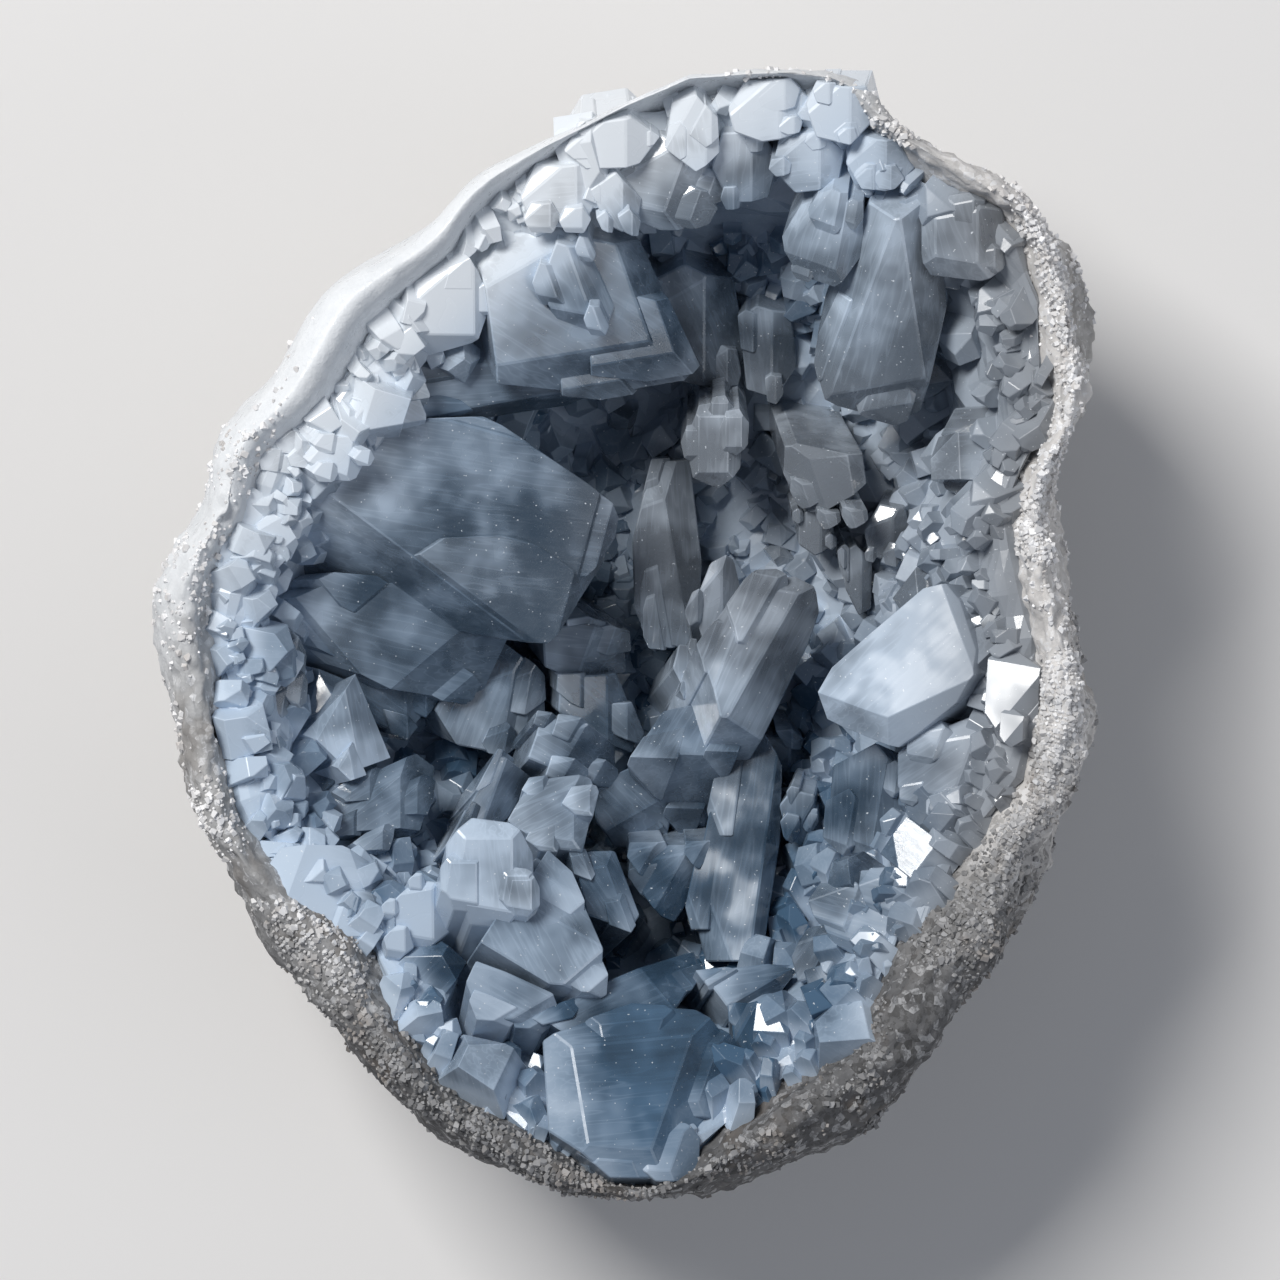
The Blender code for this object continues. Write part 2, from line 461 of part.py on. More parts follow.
        outline=[(-6.2, 48.6), (-4.6, 51.6), (0.4, 52), (3.4, 50.2), (1.4, 47.4), (-4, 46.8)],
        bevels=[(0, 49.6, 0, 0.7), (-3.6, 50.4, 130, 0.6)],
    ),
}


def clear_scene():
    """Start from an empty scene."""
    for thing in list(bpy.data.objects):
        bpy.data.objects.remove(thing)


def make_material(name, colour, roughness):
    """A Principled material for one kind of mineral."""
    material = bpy.data.materials.new(name)
    material.use_nodes = True
    shader = material.node_tree.nodes["Principled BSDF"]
    shader.inputs["Base Color"].default_value = (*colour, 1.0)
    shader.inputs["Roughness"].default_value = roughness
    shader.inputs["Metallic"].default_value = 0.0
    return material


def add_object(name, bm, collection, material=None):
    """Turn a bmesh in millimetres into an object in metres, about the middle of the geode."""
    bmesh.ops.translate(bm, vec=(-MIDDLE[0], -MIDDLE[1], 0.0), verts=bm.verts)
    bmesh.ops.scale(bm, vec=(MM, MM, MM), verts=bm.verts)
    bmesh.ops.recalc_face_normals(bm, faces=bm.faces)
    mesh = bpy.data.meshes.new(name)
    bm.to_mesh(mesh)
    bm.free()
    thing = bpy.data.objects.new(name, mesh)
    collection.objects.link(thing)
    if material:
        mesh.materials.append(material)
    return thing


def smooth_curve(points, steps):
    """A Catmull-Rom curve through the points, with this many steps on each span."""
    points = np.asarray(points, float)
    padded = np.vstack([2 * points[0] - points[1], points, 2 * points[-1] - points[-2]])
    share = np.arange(steps) / steps
    spans = []
    for a, b, c, d in zip(padded[:-3], padded[1:-2], padded[2:-1], padded[3:]):
        t = share[:, None]
        curve = 2 * b + (c - a) * t + (2 * a - 5 * b + 4 * c - d) * t**2
        spans.append(0.5 * (curve + (3 * b - a - 3 * c + d) * t**3))
    spans.append(points[-1:])
    return np.vstack(spans)


def around(angles, values, angle):
    """Read a value that is given at compass angles, smoothly between them."""
    turns = np.concatenate([np.array(angles) - 360.0, angles, np.array(angles) + 360.0])
    order = np.argsort(turns)
    return float(np.interp(math.degrees(angle) % 360.0, turns[order], np.tile(values, 3)[order]))


OUTLINE_CURVE = smooth_curve(OUTLINE + OUTLINE[:1], 6)
OUTLINE_ANGLES = np.degrees(np.arctan2(OUTLINE_CURVE[:, 1], OUTLINE_CURVE[:, 0])) % 360.0
OUTLINE_REACH = np.hypot(OUTLINE_CURVE[:, 0], OUTLINE_CURVE[:, 1])


def reach_at(angle):
    """Distance from the axis to the outline."""
    return around(OUTLINE_ANGLES, OUTLINE_REACH, angle)


def rim_at(angle):
    """Width and height of the rim."""
    angles = [row[0] for row in RIM]
    width = around(angles, [row[1] for row in RIM], angle)
    height = around(angles, [row[2] for row in RIM], angle)
    return width, height


def section(angle, profile_of):
    """The points (distance from the axis, height) of a profile on one side of the axis."""
    reach = reach_at(angle)
    width, height = rim_at(angle)
    return smooth_curve(profile_of(reach, width, height), 6)


def rind_profile(reach, width, height):
    """Outside, crest and hollow as one line from the resting spot to the hollow's floor."""
    lip = reach - width
    points = [(share * reach, up * height) for share, up in OUTSIDE]
    points += [(reach - share * width, up * height) for share, up in CREST]
    points += [(share * lip, up * height) for share, up in HOLLOW]
    return points


def lining_profile(reach, width, height):
    """A bowl that bites into the hollow's wall and stands a little way out of it."""
    lip = reach - width
    top = 0.95
    points = [(share * (lip + LINING_BITE), up * height - LINING_BITE) for share, up in HOLLOW[::-1]]
    points += [(lip, top * height)]
    points += [(max(share * lip - LINING_DEPTH, 0.0), up * height + LINING_DEPTH * (1.0 - share))
               for share, up in HOLLOW]
    return points


def walk(points, share):
    """The point that lies at this share of a line's length."""
    steps = np.hypot(*np.diff(points, axis=0).T)
    length = np.concatenate([[0.0], np.cumsum(steps)])
    where = share * length[-1]
    return np.interp(where, length, points[:, 0]), np.interp(where, length, points[:, 1])


def lumps(points, size, seed):
    """Smooth noise from -1 to 1: random corners of a lattice of this size, blended between."""
    table = np.random.default_rng(seed).uniform(-1.0, 1.0, (24, 24, 24))
    place = np.asarray(points) / size + 240.0
    corner = np.floor(place).astype(int)
    t = place - corner
    t = t * t * (3.0 - 2.0 * t)
    total = np.zeros(len(place))
    for step in np.ndindex(2, 2, 2):
        weight = np.prod(np.where(step, t, 1.0 - t), axis=1)
        i, j, k = ((corner + step) % 24).T
        total += weight * table[i, j, k]
    return total


def rough_rind(points):
    """How far the rind's surface stands out at each point, in millimetres."""
    x, y = points[:, 0], points[:, 1]
    sugary = 1.0 / (1.0 + np.exp(-(x - 26.0) / 5.0))
    ground = 1.0 / (1.0 + np.exp(-(y - x - 42.0) / 6.0))
    coarse = lumps(points, 17.0, 3)
    medium = lumps(points, 8.0, 8) * (1.0 + 0.6 * sugary) * (1.0 - 0.7 * ground)
    fine = lumps(points, 4.5, 5) * (0.7 + 0.8 * sugary) * (1.0 - 0.8 * ground)
    return 0.7 * coarse + 1.1 * medium + 0.7 * fine


def rough_lining(points):
    """How far the druse between the large crystals stands out, in millimetres."""
    return 1.5 * lumps(points, 5.0, 21) + 0.8 * lumps(points, 2.6, 4)


def blend(value, low, high):
    """Nought below low, one above high, and smooth between them."""
    t = min(1.0, max(0.0, (value - low) / (high - low)))
    return t * t * (3.0 - 2.0 * t)


def rind_calm(angle, share, height):
    """How much of the roughness is left: little on a thin rim and in the hollow."""
    width, _ = rim_at(angle)
    thin = min(1.0, width / 8.0)
    rim = 1.0 - (1.0 - thin) * blend(share, 0.40, 0.50)
    hollow = 1.0 - 0.8 * blend(share, 0.56, 0.62)
    return rim * hollow * min(1.0, height / 4.0)


def lining_calm(angle, share, height):
    """The druse is rough all over."""
    return 1.0


def shaped_sphere(segments, rings, profile_of, roughness, calm, cutter=False):
    """A sphere primitive whose rings follow a profile and whose girth follows the outline.

    As a cutter, its hollow and crest grow by the gap, and its outside is pushed far away.
    """
    bm = bmesh.new()
    bmesh.ops.create_uvsphere(bm, u_segments=segments, v_segments=rings, radius=1.0)
    sections = {}
    places = []
    for vert in bm.verts:
        angle = math.atan2(vert.co.y, vert.co.x)
        key = round(angle, 4)
        if key not in sections:
            sections[key] = section(angle, profile_of)
        ring = 1.0 - math.acos(max(-1.0, min(1.0, vert.co.z))) / math.pi
        share = float(np.interp(ring, RING_STEPS, LENGTH_STEPS))
        places.append((angle, share))
        distance, height = walk(sections[key], share)
        vert.co = (distance * math.cos(angle), distance * math.sin(angle), height)
    bmesh.ops.recalc_face_normals(bm, faces=bm.faces)
    bm.normal_update()
    rough = roughness(np.array([vert.co for vert in bm.verts]))
    normals = [vert.normal.copy() for vert in bm.verts]
    for vert, normal, out, (angle, share) in zip(bm.verts, normals, rough, places):
        vert.co += normal * float(out) * calm(angle, share, vert.co.z)
        vert.co.z = max(vert.co.z, 0.0)
    if cutter:
        bm.normal_update()
        normals = [vert.normal.copy() for vert in bm.verts]
        for vert, normal, (angle, share) in zip(bm.verts, normals, places):
            vert.co += normal * CRUST_GAP
            away = 1.0 - blend(share, 0.44, 0.50)
            vert.co.x *= 1.0 + 0.5 * away
            vert.co.y *= 1.0 + 0.5 * away
            vert.co.z += 15.0 * away - 50.0 * (1.0 - blend(share, 0.30, 0.40))
    return bm


def cleave(bm, point, normal):
    """Cut away what lies beyond a plane, and close the cut with one flat face."""
    point = Vector(point)
    normal = Vector(normal).normalized()
    beyond = [normal.dot(vert.co - point) for vert in bm.verts]
    if not beyond or max(beyond) < 1e-3:
        return
    everything = bm.verts[:] + bm.edges[:] + bm.faces[:]
    cut = bmesh.ops.bisect_plane(
        bm, geom=everything, dist=1e-4, plane_co=point, plane_no=normal, clear_outer=True)
    edges = [part for part in cut["geom_cut"] if isinstance(part, bmesh.types.BMEdge)]
    bmesh.ops.contextual_create(bm, geom=edges)


def big_crystal(root, outline, height, fall, bevels):
    """A block cleaved by its front face, its bevels, its sides and its root."""
    middle = sum((Vector(point) for point in outline), Vector((0.0, 0.0))) / len(outline)
    slope = -fall[1] * Vector((math.cos(math.radians(fall[0])), math.sin(math.radians(fall[0]))))
    faces = [(height, middle, slope)]
    for x, y, angle, steeper in bevels:
        start = Vector((x, y))
        away = Vector((math.cos(math.radians(angle)), math.sin(math.radians(angle))))
        faces.append((height + slope.dot(start - middle), start, slope - steeper * away))

    def front(point):
        return min(level + tilt.dot(point - start) for level, start, tilt in faces)

    root = Vector(root)
    tip = Vector((*middle, height))
    apex = root + (root - tip) * ROOT_WIDTH / (1.0 - ROOT_WIDTH)
    bm = bmesh.new()
    bmesh.ops.create_cube(bm, size=300.0)
    bmesh.ops.translate(bm, vec=tip, verts=bm.verts)
    for level, start, tilt in faces:
        cleave(bm, (*start, level), (-tilt.x, -tilt.y, 1.0))
    inside = tip + (apex - tip) * 0.01
    corners = [Vector((*point, front(Vector(point)))) for point in outline]
    for first, second in zip(corners, corners[1:] + corners[:1]):
        normal = (second - first).cross(apex - first)
        if normal.dot(inside - first) > 0.0:
            normal.negate()
        cleave(bm, first, normal)
    cleave(bm, root, root - tip)
    return bm


def small_crystal(rng, base, direction, half_width, length):
    """A stubby crystal of druse: a block on its root, cleaved into a chisel point."""
    direction = direction.normalized()
    side = direction.cross(Vector((rng.uniform(-1, 1), rng.uniform(-1, 1), rng.uniform(-1, 1))))
    side.normalize()
    other = direction.cross(side)
    tip = base + direction * length
    bm = bmesh.new()
    bmesh.ops.create_cube(bm, size=60.0)
    bmesh.ops.translate(bm, vec=base, verts=bm.verts)
    slim = half_width * rng.uniform(0.55, 0.9)
    for across, reach in ((side, half_width), (-side, half_width), (other, slim), (-other, slim)):
        lean = direction * rng.uniform(0.0, 0.15)
        cleave(bm, base + across * reach, across + lean)
    for across in (side, -side, other):
        cleave(bm, tip, direction + across * rng.uniform(0.45, 1.2))
    cleave(bm, base - direction * 2.5, -direction)
    return bm


def druse(rng):
    """Small crystals: a row of larger ones below the lip, and fine ones over the floor."""
    blanks = []
    for number in range(RIM_DRUSE_COUNT + FLOOR_DRUSE_COUNT):
        angle = rng.uniform(-math.pi, math.pi)
        on_rim = number < RIM_DRUSE_COUNT
        share = rng.uniform(0.51, 0.68) if on_rim else rng.uniform(0.66, 0.97)
        distance, height = walk(section(angle, lining_profile), share)
        base = Vector((distance * math.cos(angle), distance * math.sin(angle), height))
        inward = Vector((-math.cos(angle), -math.sin(angle), 0.0))
        steep = min(1.0, distance / 34.0)
        lean = Vector((rng.uniform(-0.5, 0.5), rng.uniform(-0.5, 0.5), rng.uniform(-0.2, 0.5)))
        direction = inward * steep + Vector((0.0, 0.0, 1.15 - 0.5 * steep)) + lean
        half_width = rng.uniform(2.0, 3.8) if on_rim else rng.uniform(1.1, 2.6)
        length = rng.uniform(2.5, 6.0) if on_rim else rng.uniform(2.2, 5.0)
        blanks.append(small_crystal(rng, base, direction, half_width, length))
    return blanks


def largest_piece(mesh):
    """Keep only the biggest connected shell of a mesh, with its flat faces merged."""
    bm = bmesh.new()
    bm.from_mesh(mesh)
    unseen = set(bm.verts)
    shells = []
    while unseen:
        stack = [unseen.pop()]
        shell = set(stack)
        while stack:
            for edge in stack.pop().link_edges:
                for vert in edge.verts:
                    if vert in unseen:
                        unseen.remove(vert)
                        shell.add(vert)
                        stack.append(vert)
        shells.append(shell)
    best = max(shells, key=len)
    bmesh.ops.delete(bm, geom=[vert for vert in bm.verts if vert not in best], context="VERTS")
    bmesh.ops.dissolve_limit(
        bm, angle_limit=math.radians(FLAT_ANGLE), verts=bm.verts, edges=bm.edges)
    bmesh.ops.triangulate(bm, faces=bm.faces)
    bm.to_mesh(mesh)
    bm.free()


def apply_boolean(thing, operation, operand):
    """Apply a Boolean with an object or a whole collection, and remove the cutters.

    Triangles go in, because many-sided faces that are a hair out of flat spoil the cut.
    """
    modifier = thing.modifiers.new(operation.title(), "BOOLEAN")
    modifier.solver = "EXACT"
    modifier.operation = operation
    if isinstance(operand, bpy.types.Collection):
        modifier.operand_type = "COLLECTION"
        modifier.collection = operand
        cutters = list(operand.objects)
    else:
        modifier.object = operand
        cutters = [operand]
    graph = bpy.context.evaluated_depsgraph_get()
    mesh = bpy.data.meshes.new_from_object(thing.evaluated_get(graph))
    thing.modifiers.clear()
    thing.data = mesh
    make_triangles(mesh)
    for cutter in cutters:
        bpy.data.objects.remove(cutter)


def make_triangles(mesh):
    """Split every face of a mesh into triangles."""
    bm = bmesh.new()
    bm.from_mesh(mesh)
    bmesh.ops.triangulate(bm, faces=bm.faces)
    bm.to_mesh(mesh)
    bm.free()


def new_collection(name):
    """A collection in the scene."""
    collection = bpy.data.collections.new(name)
    bpy.context.scene.collection.children.link(collection)
    return collection


def build():
    """Model the rind and the crust of crystals."""
    clear_scene()
    geode = new_collection("celestite_geode")
    blanks = new_collection("crystal_blanks")
    cutters = new_collection("cutters")
    stone = make_material("rind", (0.55, 0.53, 0.50), 0.85)
    celestite = make_material("crystal", (0.36, 0.45, 0.56), 0.12)

    rind = add_object(
        "rind", shaped_sphere(RIND_SEGMENTS, RIND_RINGS, rind_profile, rough_rind, rind_calm),
        geode, stone)
    rind.data.shade_smooth()
    rind.data.set_sharp_from_angle(angle=math.radians(50.0))

    lining = shaped_sphere(
        LINING_SEGMENTS, LINING_RINGS, lining_profile, rough_lining, lining_calm)
    crust = add_object("crystal_crust", lining, geode, celestite)
    for name, shape in CRYSTALS.items():
        blank = add_object(name, big_crystal(**shape), blanks, celestite)
        blank.hide_render = True
        blank.display_type = "WIRE"
    for number, bm in enumerate(druse(random.Random(DRUSE_SEED))):
        blank = add_object(f"druse_{number:03d}", bm, blanks, celestite)
        blank.hide_render = True
        blank.display_type = "WIRE"
    apply_boolean(crust, "UNION", blanks)

    grown = shaped_sphere(
        RIND_SEGMENTS, RIND_RINGS, rind_profile, rough_rind, rind_calm, cutter=True)
    cutter = add_object("rind_cutter", grown, cutters)
    cutter.hide_render = True
    cutter.display_type = "WIRE"
    make_triangles(cutter.data)
    apply_boolean(crust, "DIFFERENCE", cutter)
    largest_piece(crust.data)


build()
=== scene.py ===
import json
import math
import random

import bmesh
import bpy
import numpy as np
from mathutils import Matrix, Vector

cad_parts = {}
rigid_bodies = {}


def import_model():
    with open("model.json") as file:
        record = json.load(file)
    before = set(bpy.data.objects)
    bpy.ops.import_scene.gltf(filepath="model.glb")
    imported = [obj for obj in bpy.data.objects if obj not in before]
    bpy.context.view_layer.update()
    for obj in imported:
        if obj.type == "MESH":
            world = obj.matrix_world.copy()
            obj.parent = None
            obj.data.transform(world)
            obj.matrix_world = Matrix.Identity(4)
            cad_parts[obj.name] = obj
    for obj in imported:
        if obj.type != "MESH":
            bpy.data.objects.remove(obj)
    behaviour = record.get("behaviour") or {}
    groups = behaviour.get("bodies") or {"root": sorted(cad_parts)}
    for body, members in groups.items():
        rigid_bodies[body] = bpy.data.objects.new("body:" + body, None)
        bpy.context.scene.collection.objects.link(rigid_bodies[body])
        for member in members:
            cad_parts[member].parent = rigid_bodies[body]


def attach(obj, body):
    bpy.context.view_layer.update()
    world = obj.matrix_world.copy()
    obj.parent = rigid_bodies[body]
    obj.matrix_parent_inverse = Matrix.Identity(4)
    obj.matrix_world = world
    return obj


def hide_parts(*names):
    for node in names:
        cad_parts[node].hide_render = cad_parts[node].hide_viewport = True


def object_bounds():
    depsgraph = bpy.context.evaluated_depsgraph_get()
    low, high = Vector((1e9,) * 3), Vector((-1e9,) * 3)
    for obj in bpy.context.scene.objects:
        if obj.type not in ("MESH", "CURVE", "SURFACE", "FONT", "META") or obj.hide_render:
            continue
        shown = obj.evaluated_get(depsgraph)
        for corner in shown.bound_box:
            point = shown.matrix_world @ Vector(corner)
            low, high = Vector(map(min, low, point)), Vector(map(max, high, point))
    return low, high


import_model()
cad_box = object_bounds()

# Rind: the stony shell of half a nodule, of fine celestite and clay, ground smooth along the upper
# left, sugary along the right, and broken and stained below, where painted shade also darkens it. It
# is one grid of rings that climb the outside, cross the crest and run down the wall of the hollow,
# with grains raised on it.
MM = 0.001
MIDDLE = np.array([0.25, -0.11, 0.0])
OUTLINE = [
    (6.4, 57.2), (16.4, 57.7), (22.9, 56.6), (27.9, 52.2), (35.9, 48.0), (40.9, 45.2),
    (45.4, 38.5), (47.3, 30.8), (47.6, 24.0), (45.1, 17.8), (44.4, 13.3), (45.2, 6.8),
    (47.0, -6.2), (45.4, -16.2), (41.9, -24.2), (37.4, -33.2), (31.4, -42.7), (24.4, -50.0),
    (14.4, -54.2), (5.4, -57.4), (-3.6, -57.5), (-13.6, -53.4), (-22.6, -48.2), (-31.6, -37.7),
    (-38.6, -28.2), (-43.6, -18.7), (-46.6, -6.2), (-47.8, 2.8), (-46.6, 7.8), (-43.6, 13.6),
    (-41.6, 20.8), (-36.0, 27.0), (-31.6, 34.0), (-28.0, 37.4), (-20.1, 42.0), (-14.6, 47.3),
    (-2.6, 53.3),
]
RIM = [
    (0, 5.5, 49.5), (25, 6.5, 50.5), (50, 4.5, 51.0), (70, 2.6, 51.5), (90, 2.2, 52.0),
    (112, 4.0, 52.5), (135, 7.0, 53.5), (158, 6.5, 54.0), (180, 6.5, 53.0), (205, 5.0, 51.5),
    (228, 9.0, 50.5), (250, 6.0, 50.0), (272, 4.0, 50.0), (295, 9.0, 49.0), (315, 10.0, 49.0),
    (338, 6.5, 49.0),
]
OUTSIDE = [
    (0.0, 0.0), (0.23, 0.0), (0.42, 0.03), (0.62, 0.105), (0.79, 0.23), (0.92, 0.41),
    (0.985, 0.58), (1.0, 0.73), (0.99, 0.86),
]
CREST = [(0.2, 0.95), (0.5, 1.0), (0.8, 0.985), (1.0, 0.93)]
HOLLOW = [(0.96, 0.86), (0.89, 0.71), (0.79, 0.55), (0.64, 0.40), (0.42, 0.28), (0.0, 0.21)]
RIND_AROUND = 560
RIND_STEPS = 12
BOX_MARGIN = 0.0001
RIND_SHRINK = 0.35
LATTICE = 24
FAR_CORNER = 10.0 * LATTICE


def smooth_curve(points, steps):
    """Catmull-Rom curve through points on the first axis, this many steps to each span.

    Half of 2b + (c - a)t + (2a - 5b + 4c - d)t^2 + (3b - a - 3c + d)t^3, from b to c.
    """
    points = np.asarray(points, float)
    padded = np.concatenate([2 * points[:1] - points[1:2], points, 2 * points[-1:] - points[-2:-1]])
    a, b, c, d = padded[:-3], padded[1:-2], padded[2:-1], padded[3:]
    t = (np.arange(steps) / steps).reshape(-1, *[1] * points.ndim)
    curve = 2 * b + (c - a) * t + (2 * a - 5 * b + 4 * c - d) * t**2
    curve = 0.5 * (curve + (3 * b - a - 3 * c + d) * t**3)
    inner = np.swapaxes(curve, 0, 1).reshape(-1, *points.shape[1:])
    return np.concatenate([inner, points[-1:]])


def around(angles, values, turn):
    """Values given at compass angles, read in straight lines between them."""
    order = np.argsort(angles)
    angles, values = np.asarray(angles)[order], np.asarray(values, float)[order]
    turns = np.concatenate([angles - 360.0, angles, angles + 360.0])
    return np.interp(np.degrees(turn) % 360.0, turns, np.tile(values, 3))


outline = smooth_curve(OUTLINE + OUTLINE[:1], 6)
outline_angle = np.degrees(np.arctan2(outline[:-1, 1], outline[:-1, 0])) % 360.0
outline_reach = np.hypot(outline[:-1, 0], outline[:-1, 1])


def girth(turn):
    """Reach of the outline, width of the rim and height of the crest at each angle."""
    angles = [row[0] for row in RIM]
    width = around(angles, [row[1] for row in RIM], turn)
    height = around(angles, [row[2] for row in RIM], turn)
    return around(outline_angle, outline_reach, turn), width, height


def rind_profile(turn):
    """Points (distance, height) from the resting spot over the crest to the hollow's floor."""
    reach, width, height = girth(turn)
    lip = reach - width
    rows = [(share * reach, up * height) for share, up in OUTSIDE]
    rows += [(reach - share * width, up * height) for share, up in CREST]
    rows += [(share * lip, up * height) for share, up in HOLLOW]
    return np.array(rows).transpose(0, 2, 1)


def lumps(points, size, seed):
    """Smooth noise from -1 to 1: random corners of a lattice of this size, blended between."""
    table = np.random.default_rng(seed).uniform(-1.0, 1.0, (LATTICE,) * 3)
    place = points / size + FAR_CORNER
    corner = np.floor(place).astype(int)
    t = place - corner
    t = t * t * (3.0 - 2.0 * t)
    total = np.zeros(place.shape[:-1])
    for step in np.ndindex(2, 2, 2):
        weight = np.prod(np.where(step, t, 1.0 - t), axis=-1)
        i, j, k = np.moveaxis((corner + step) % LATTICE, -1, 0)
        total += weight * table[i, j, k]
    return total


def grains(points, size, seed):
    """Rounded grains from 0 to 1: one less the distance to the nearest jittered lattice point."""
    shift = np.random.default_rng(seed).uniform(0.0, 1.0, (LATTICE, LATTICE, LATTICE, 3))
    place = points / size + FAR_CORNER
    corner = np.floor(place).astype(int)
    nearest = np.full(place.shape[:-1], 9.0)
    for step in np.ndindex(3, 3, 3):
        cell = corner + np.array(step) - 1
        i, j, k = np.moveaxis(cell % LATTICE, -1, 0)
        nearest = np.minimum(nearest, np.linalg.norm(cell + shift[i, j, k] - place, axis=-1))
    return 1.0 - np.clip(nearest, 0.0, 1.0)


def blend(value, low, high):
    """Nought below low, one above high, and smooth between them."""
    t = np.clip((value - low) / (high - low), 0.0, 1.0)
    return t * t * (3.0 - 2.0 * t)


def sugary(points):
    """How sugary the rind is: its right side."""
    return 1.0 / (1.0 + np.exp(-(points[..., 0] - 26.0) / 5.0))


def crumbly(points):
    """How crumbly the rind is elsewhere: its left edge and its lower end."""
    left = blend(-points[..., 0], 32.0, 42.0) * 0.7
    return np.maximum(left, blend(-points[..., 1], 15.0, 35.0) * 0.6)


def ground(points):
    """How much of the rind is ground smooth: its upper left shoulder."""
    return 1.0 / (1.0 + np.exp(-(points[..., 1] - points[..., 0] * 0.8 - 50.0) / 5.0))


def rough_rind(points):
    """Height of the lumps: coarse, medium and fine noise, coarser where it is sugary."""
    sugar, flat = sugary(points), ground(points)
    medium = lumps(points, 8.0, 8) * (1.0 + 0.6 * sugar) * (1.0 - 0.7 * flat)
    fine = lumps(points, 4.5, 5) * (0.7 + 0.8 * sugar) * (1.0 - 0.8 * flat)
    return 0.7 * lumps(points, 17.0, 3) + 1.1 * medium + 0.7 * fine


def grid_normals(points):
    """Unit normals of a grid closed along its second axis, from its two differences."""
    along = np.gradient(points, axis=0)
    across = np.roll(points, -1, axis=1) - np.roll(points, 1, axis=1)
    normal = np.cross(across, along)
    length = np.linalg.norm(normal, axis=-1, keepdims=True)
    normal /= np.maximum(length, 1e-9)
    normal[0] = (0.0, 0.0, -1.0)
    normal[-1] = (0.0, 0.0, 1.0)
    return normal


def rind_grid(count, steps, hollow_every, grow, details):
    """Rings of points: distance and height from the profile, turned round the outline.

    The lumps stand out along the normal, calm on a thin rim, in the hollow and at the foot.
    With details, grains and pits stand on them. Grow moves the whole skin outwards.
    """
    turn = np.linspace(-np.pi, np.pi, count, endpoint=False)
    profile = smooth_curve(rind_profile(turn), steps)
    last_outside = (len(OUTSIDE) + len(CREST) - 1) * steps
    rows = np.r_[0:last_outside, last_outside:len(profile):hollow_every]
    stretch = np.hypot(*np.diff(profile, axis=0).T).T
    length = np.concatenate([np.zeros((1, count)), np.cumsum(stretch, axis=0)])
    share = (length / length[-1])[rows]
    distance, height = profile[rows, :, 0], profile[rows, :, 1]
    points = np.stack([distance * np.cos(turn), distance * np.sin(turn), height], axis=-1)
    normal = grid_normals(points)
    _, width, _ = girth(turn)
    rim = 1.0 - (1.0 - np.minimum(1.0, width / 8.0)) * blend(share, 0.40, 0.50)
    calm = rim * (1.0 - 0.8 * blend(share, 0.56, 0.62)) * np.minimum(1.0, height / 4.0)
    points = points + normal * (rough_rind(points) * calm + grow)[..., None]
    if details:
        normal = grid_normals(points)
        sugar, flat = np.maximum(sugary(points), crumbly(points)), ground(points)
        fade = np.minimum(1.0, height / 3.0) * (1.0 - blend(share, 0.60, 0.66))
        crumbs = 0.9 * grains(points, 2.3, 31) + 0.6 * grains(points, 1.25, 32) - 0.95
        pits = np.minimum(0.0, lumps(points, 3.1, 33) + 0.35) * 1.5
        amount = (0.28 + 0.75 * sugar) * (1.0 - 0.85 * flat)
        relief = (crumbs * amount + pits * (0.35 + 0.5 * sugar) * (1.0 - 0.8 * flat)) * fade
        points = points + normal * np.clip(relief, -2.0, 0.3)[..., None]
    points[..., 2] = np.maximum(points[..., 2], 0.0)
    points[0] = points[0].mean(axis=0)
    points[-1] = points[-1].mean(axis=0)
    return points, normal, share


def grid_mesh(name, points):
    """A closed mesh of a grid in millimetres whose first and last rows are poles."""
    rows, count = points.shape[:2]
    corners = np.concatenate([points[:1, 0], points[1:-1].reshape(-1, 3), points[-1:, 0]])
    here = 1 + np.arange((rows - 2) * count).reshape(rows - 2, count)
    beside = np.roll(here, -1, axis=1)
    quads = np.stack([here[:-1], beside[:-1], beside[1:], here[1:]], axis=-1).reshape(-1, 4)
    first, last = np.zeros(count, int), np.full(count, len(corners) - 1)
    foot = np.stack([first, beside[0], here[0]], axis=-1)
    top = np.stack([here[-1], beside[-1], last], axis=-1)
    mesh = bpy.data.meshes.new(name)
    mesh.from_pydata(corners, [], quads.tolist() + foot.tolist() + top.tolist())
    return mesh


def add_piece(name, mesh, material=None):
    """Put a mesh in millimetres into the scene's frame, as a piece that rides on the stone."""
    mesh.transform(Matrix.Scale(MM, 4) @ Matrix.Translation(-Vector(MIDDLE)))
    piece = bpy.data.objects.new(name, mesh)
    bpy.context.scene.collection.objects.link(piece)
    if material:
        mesh.materials.append(material)
    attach(piece, "root")
    return piece


def keep_inside(mesh):
    """Press a finished mesh's outermost points back into the box of the solids."""
    places = np.zeros(len(mesh.vertices) * 3)
    mesh.vertices.foreach_get("co", places)
    low, high = (np.array(corner) for corner in cad_box)
    inside = np.clip(places.reshape(-1, 3), low + BOX_MARGIN, high - BOX_MARGIN)
    mesh.vertices.foreach_set("co", inside.ravel())


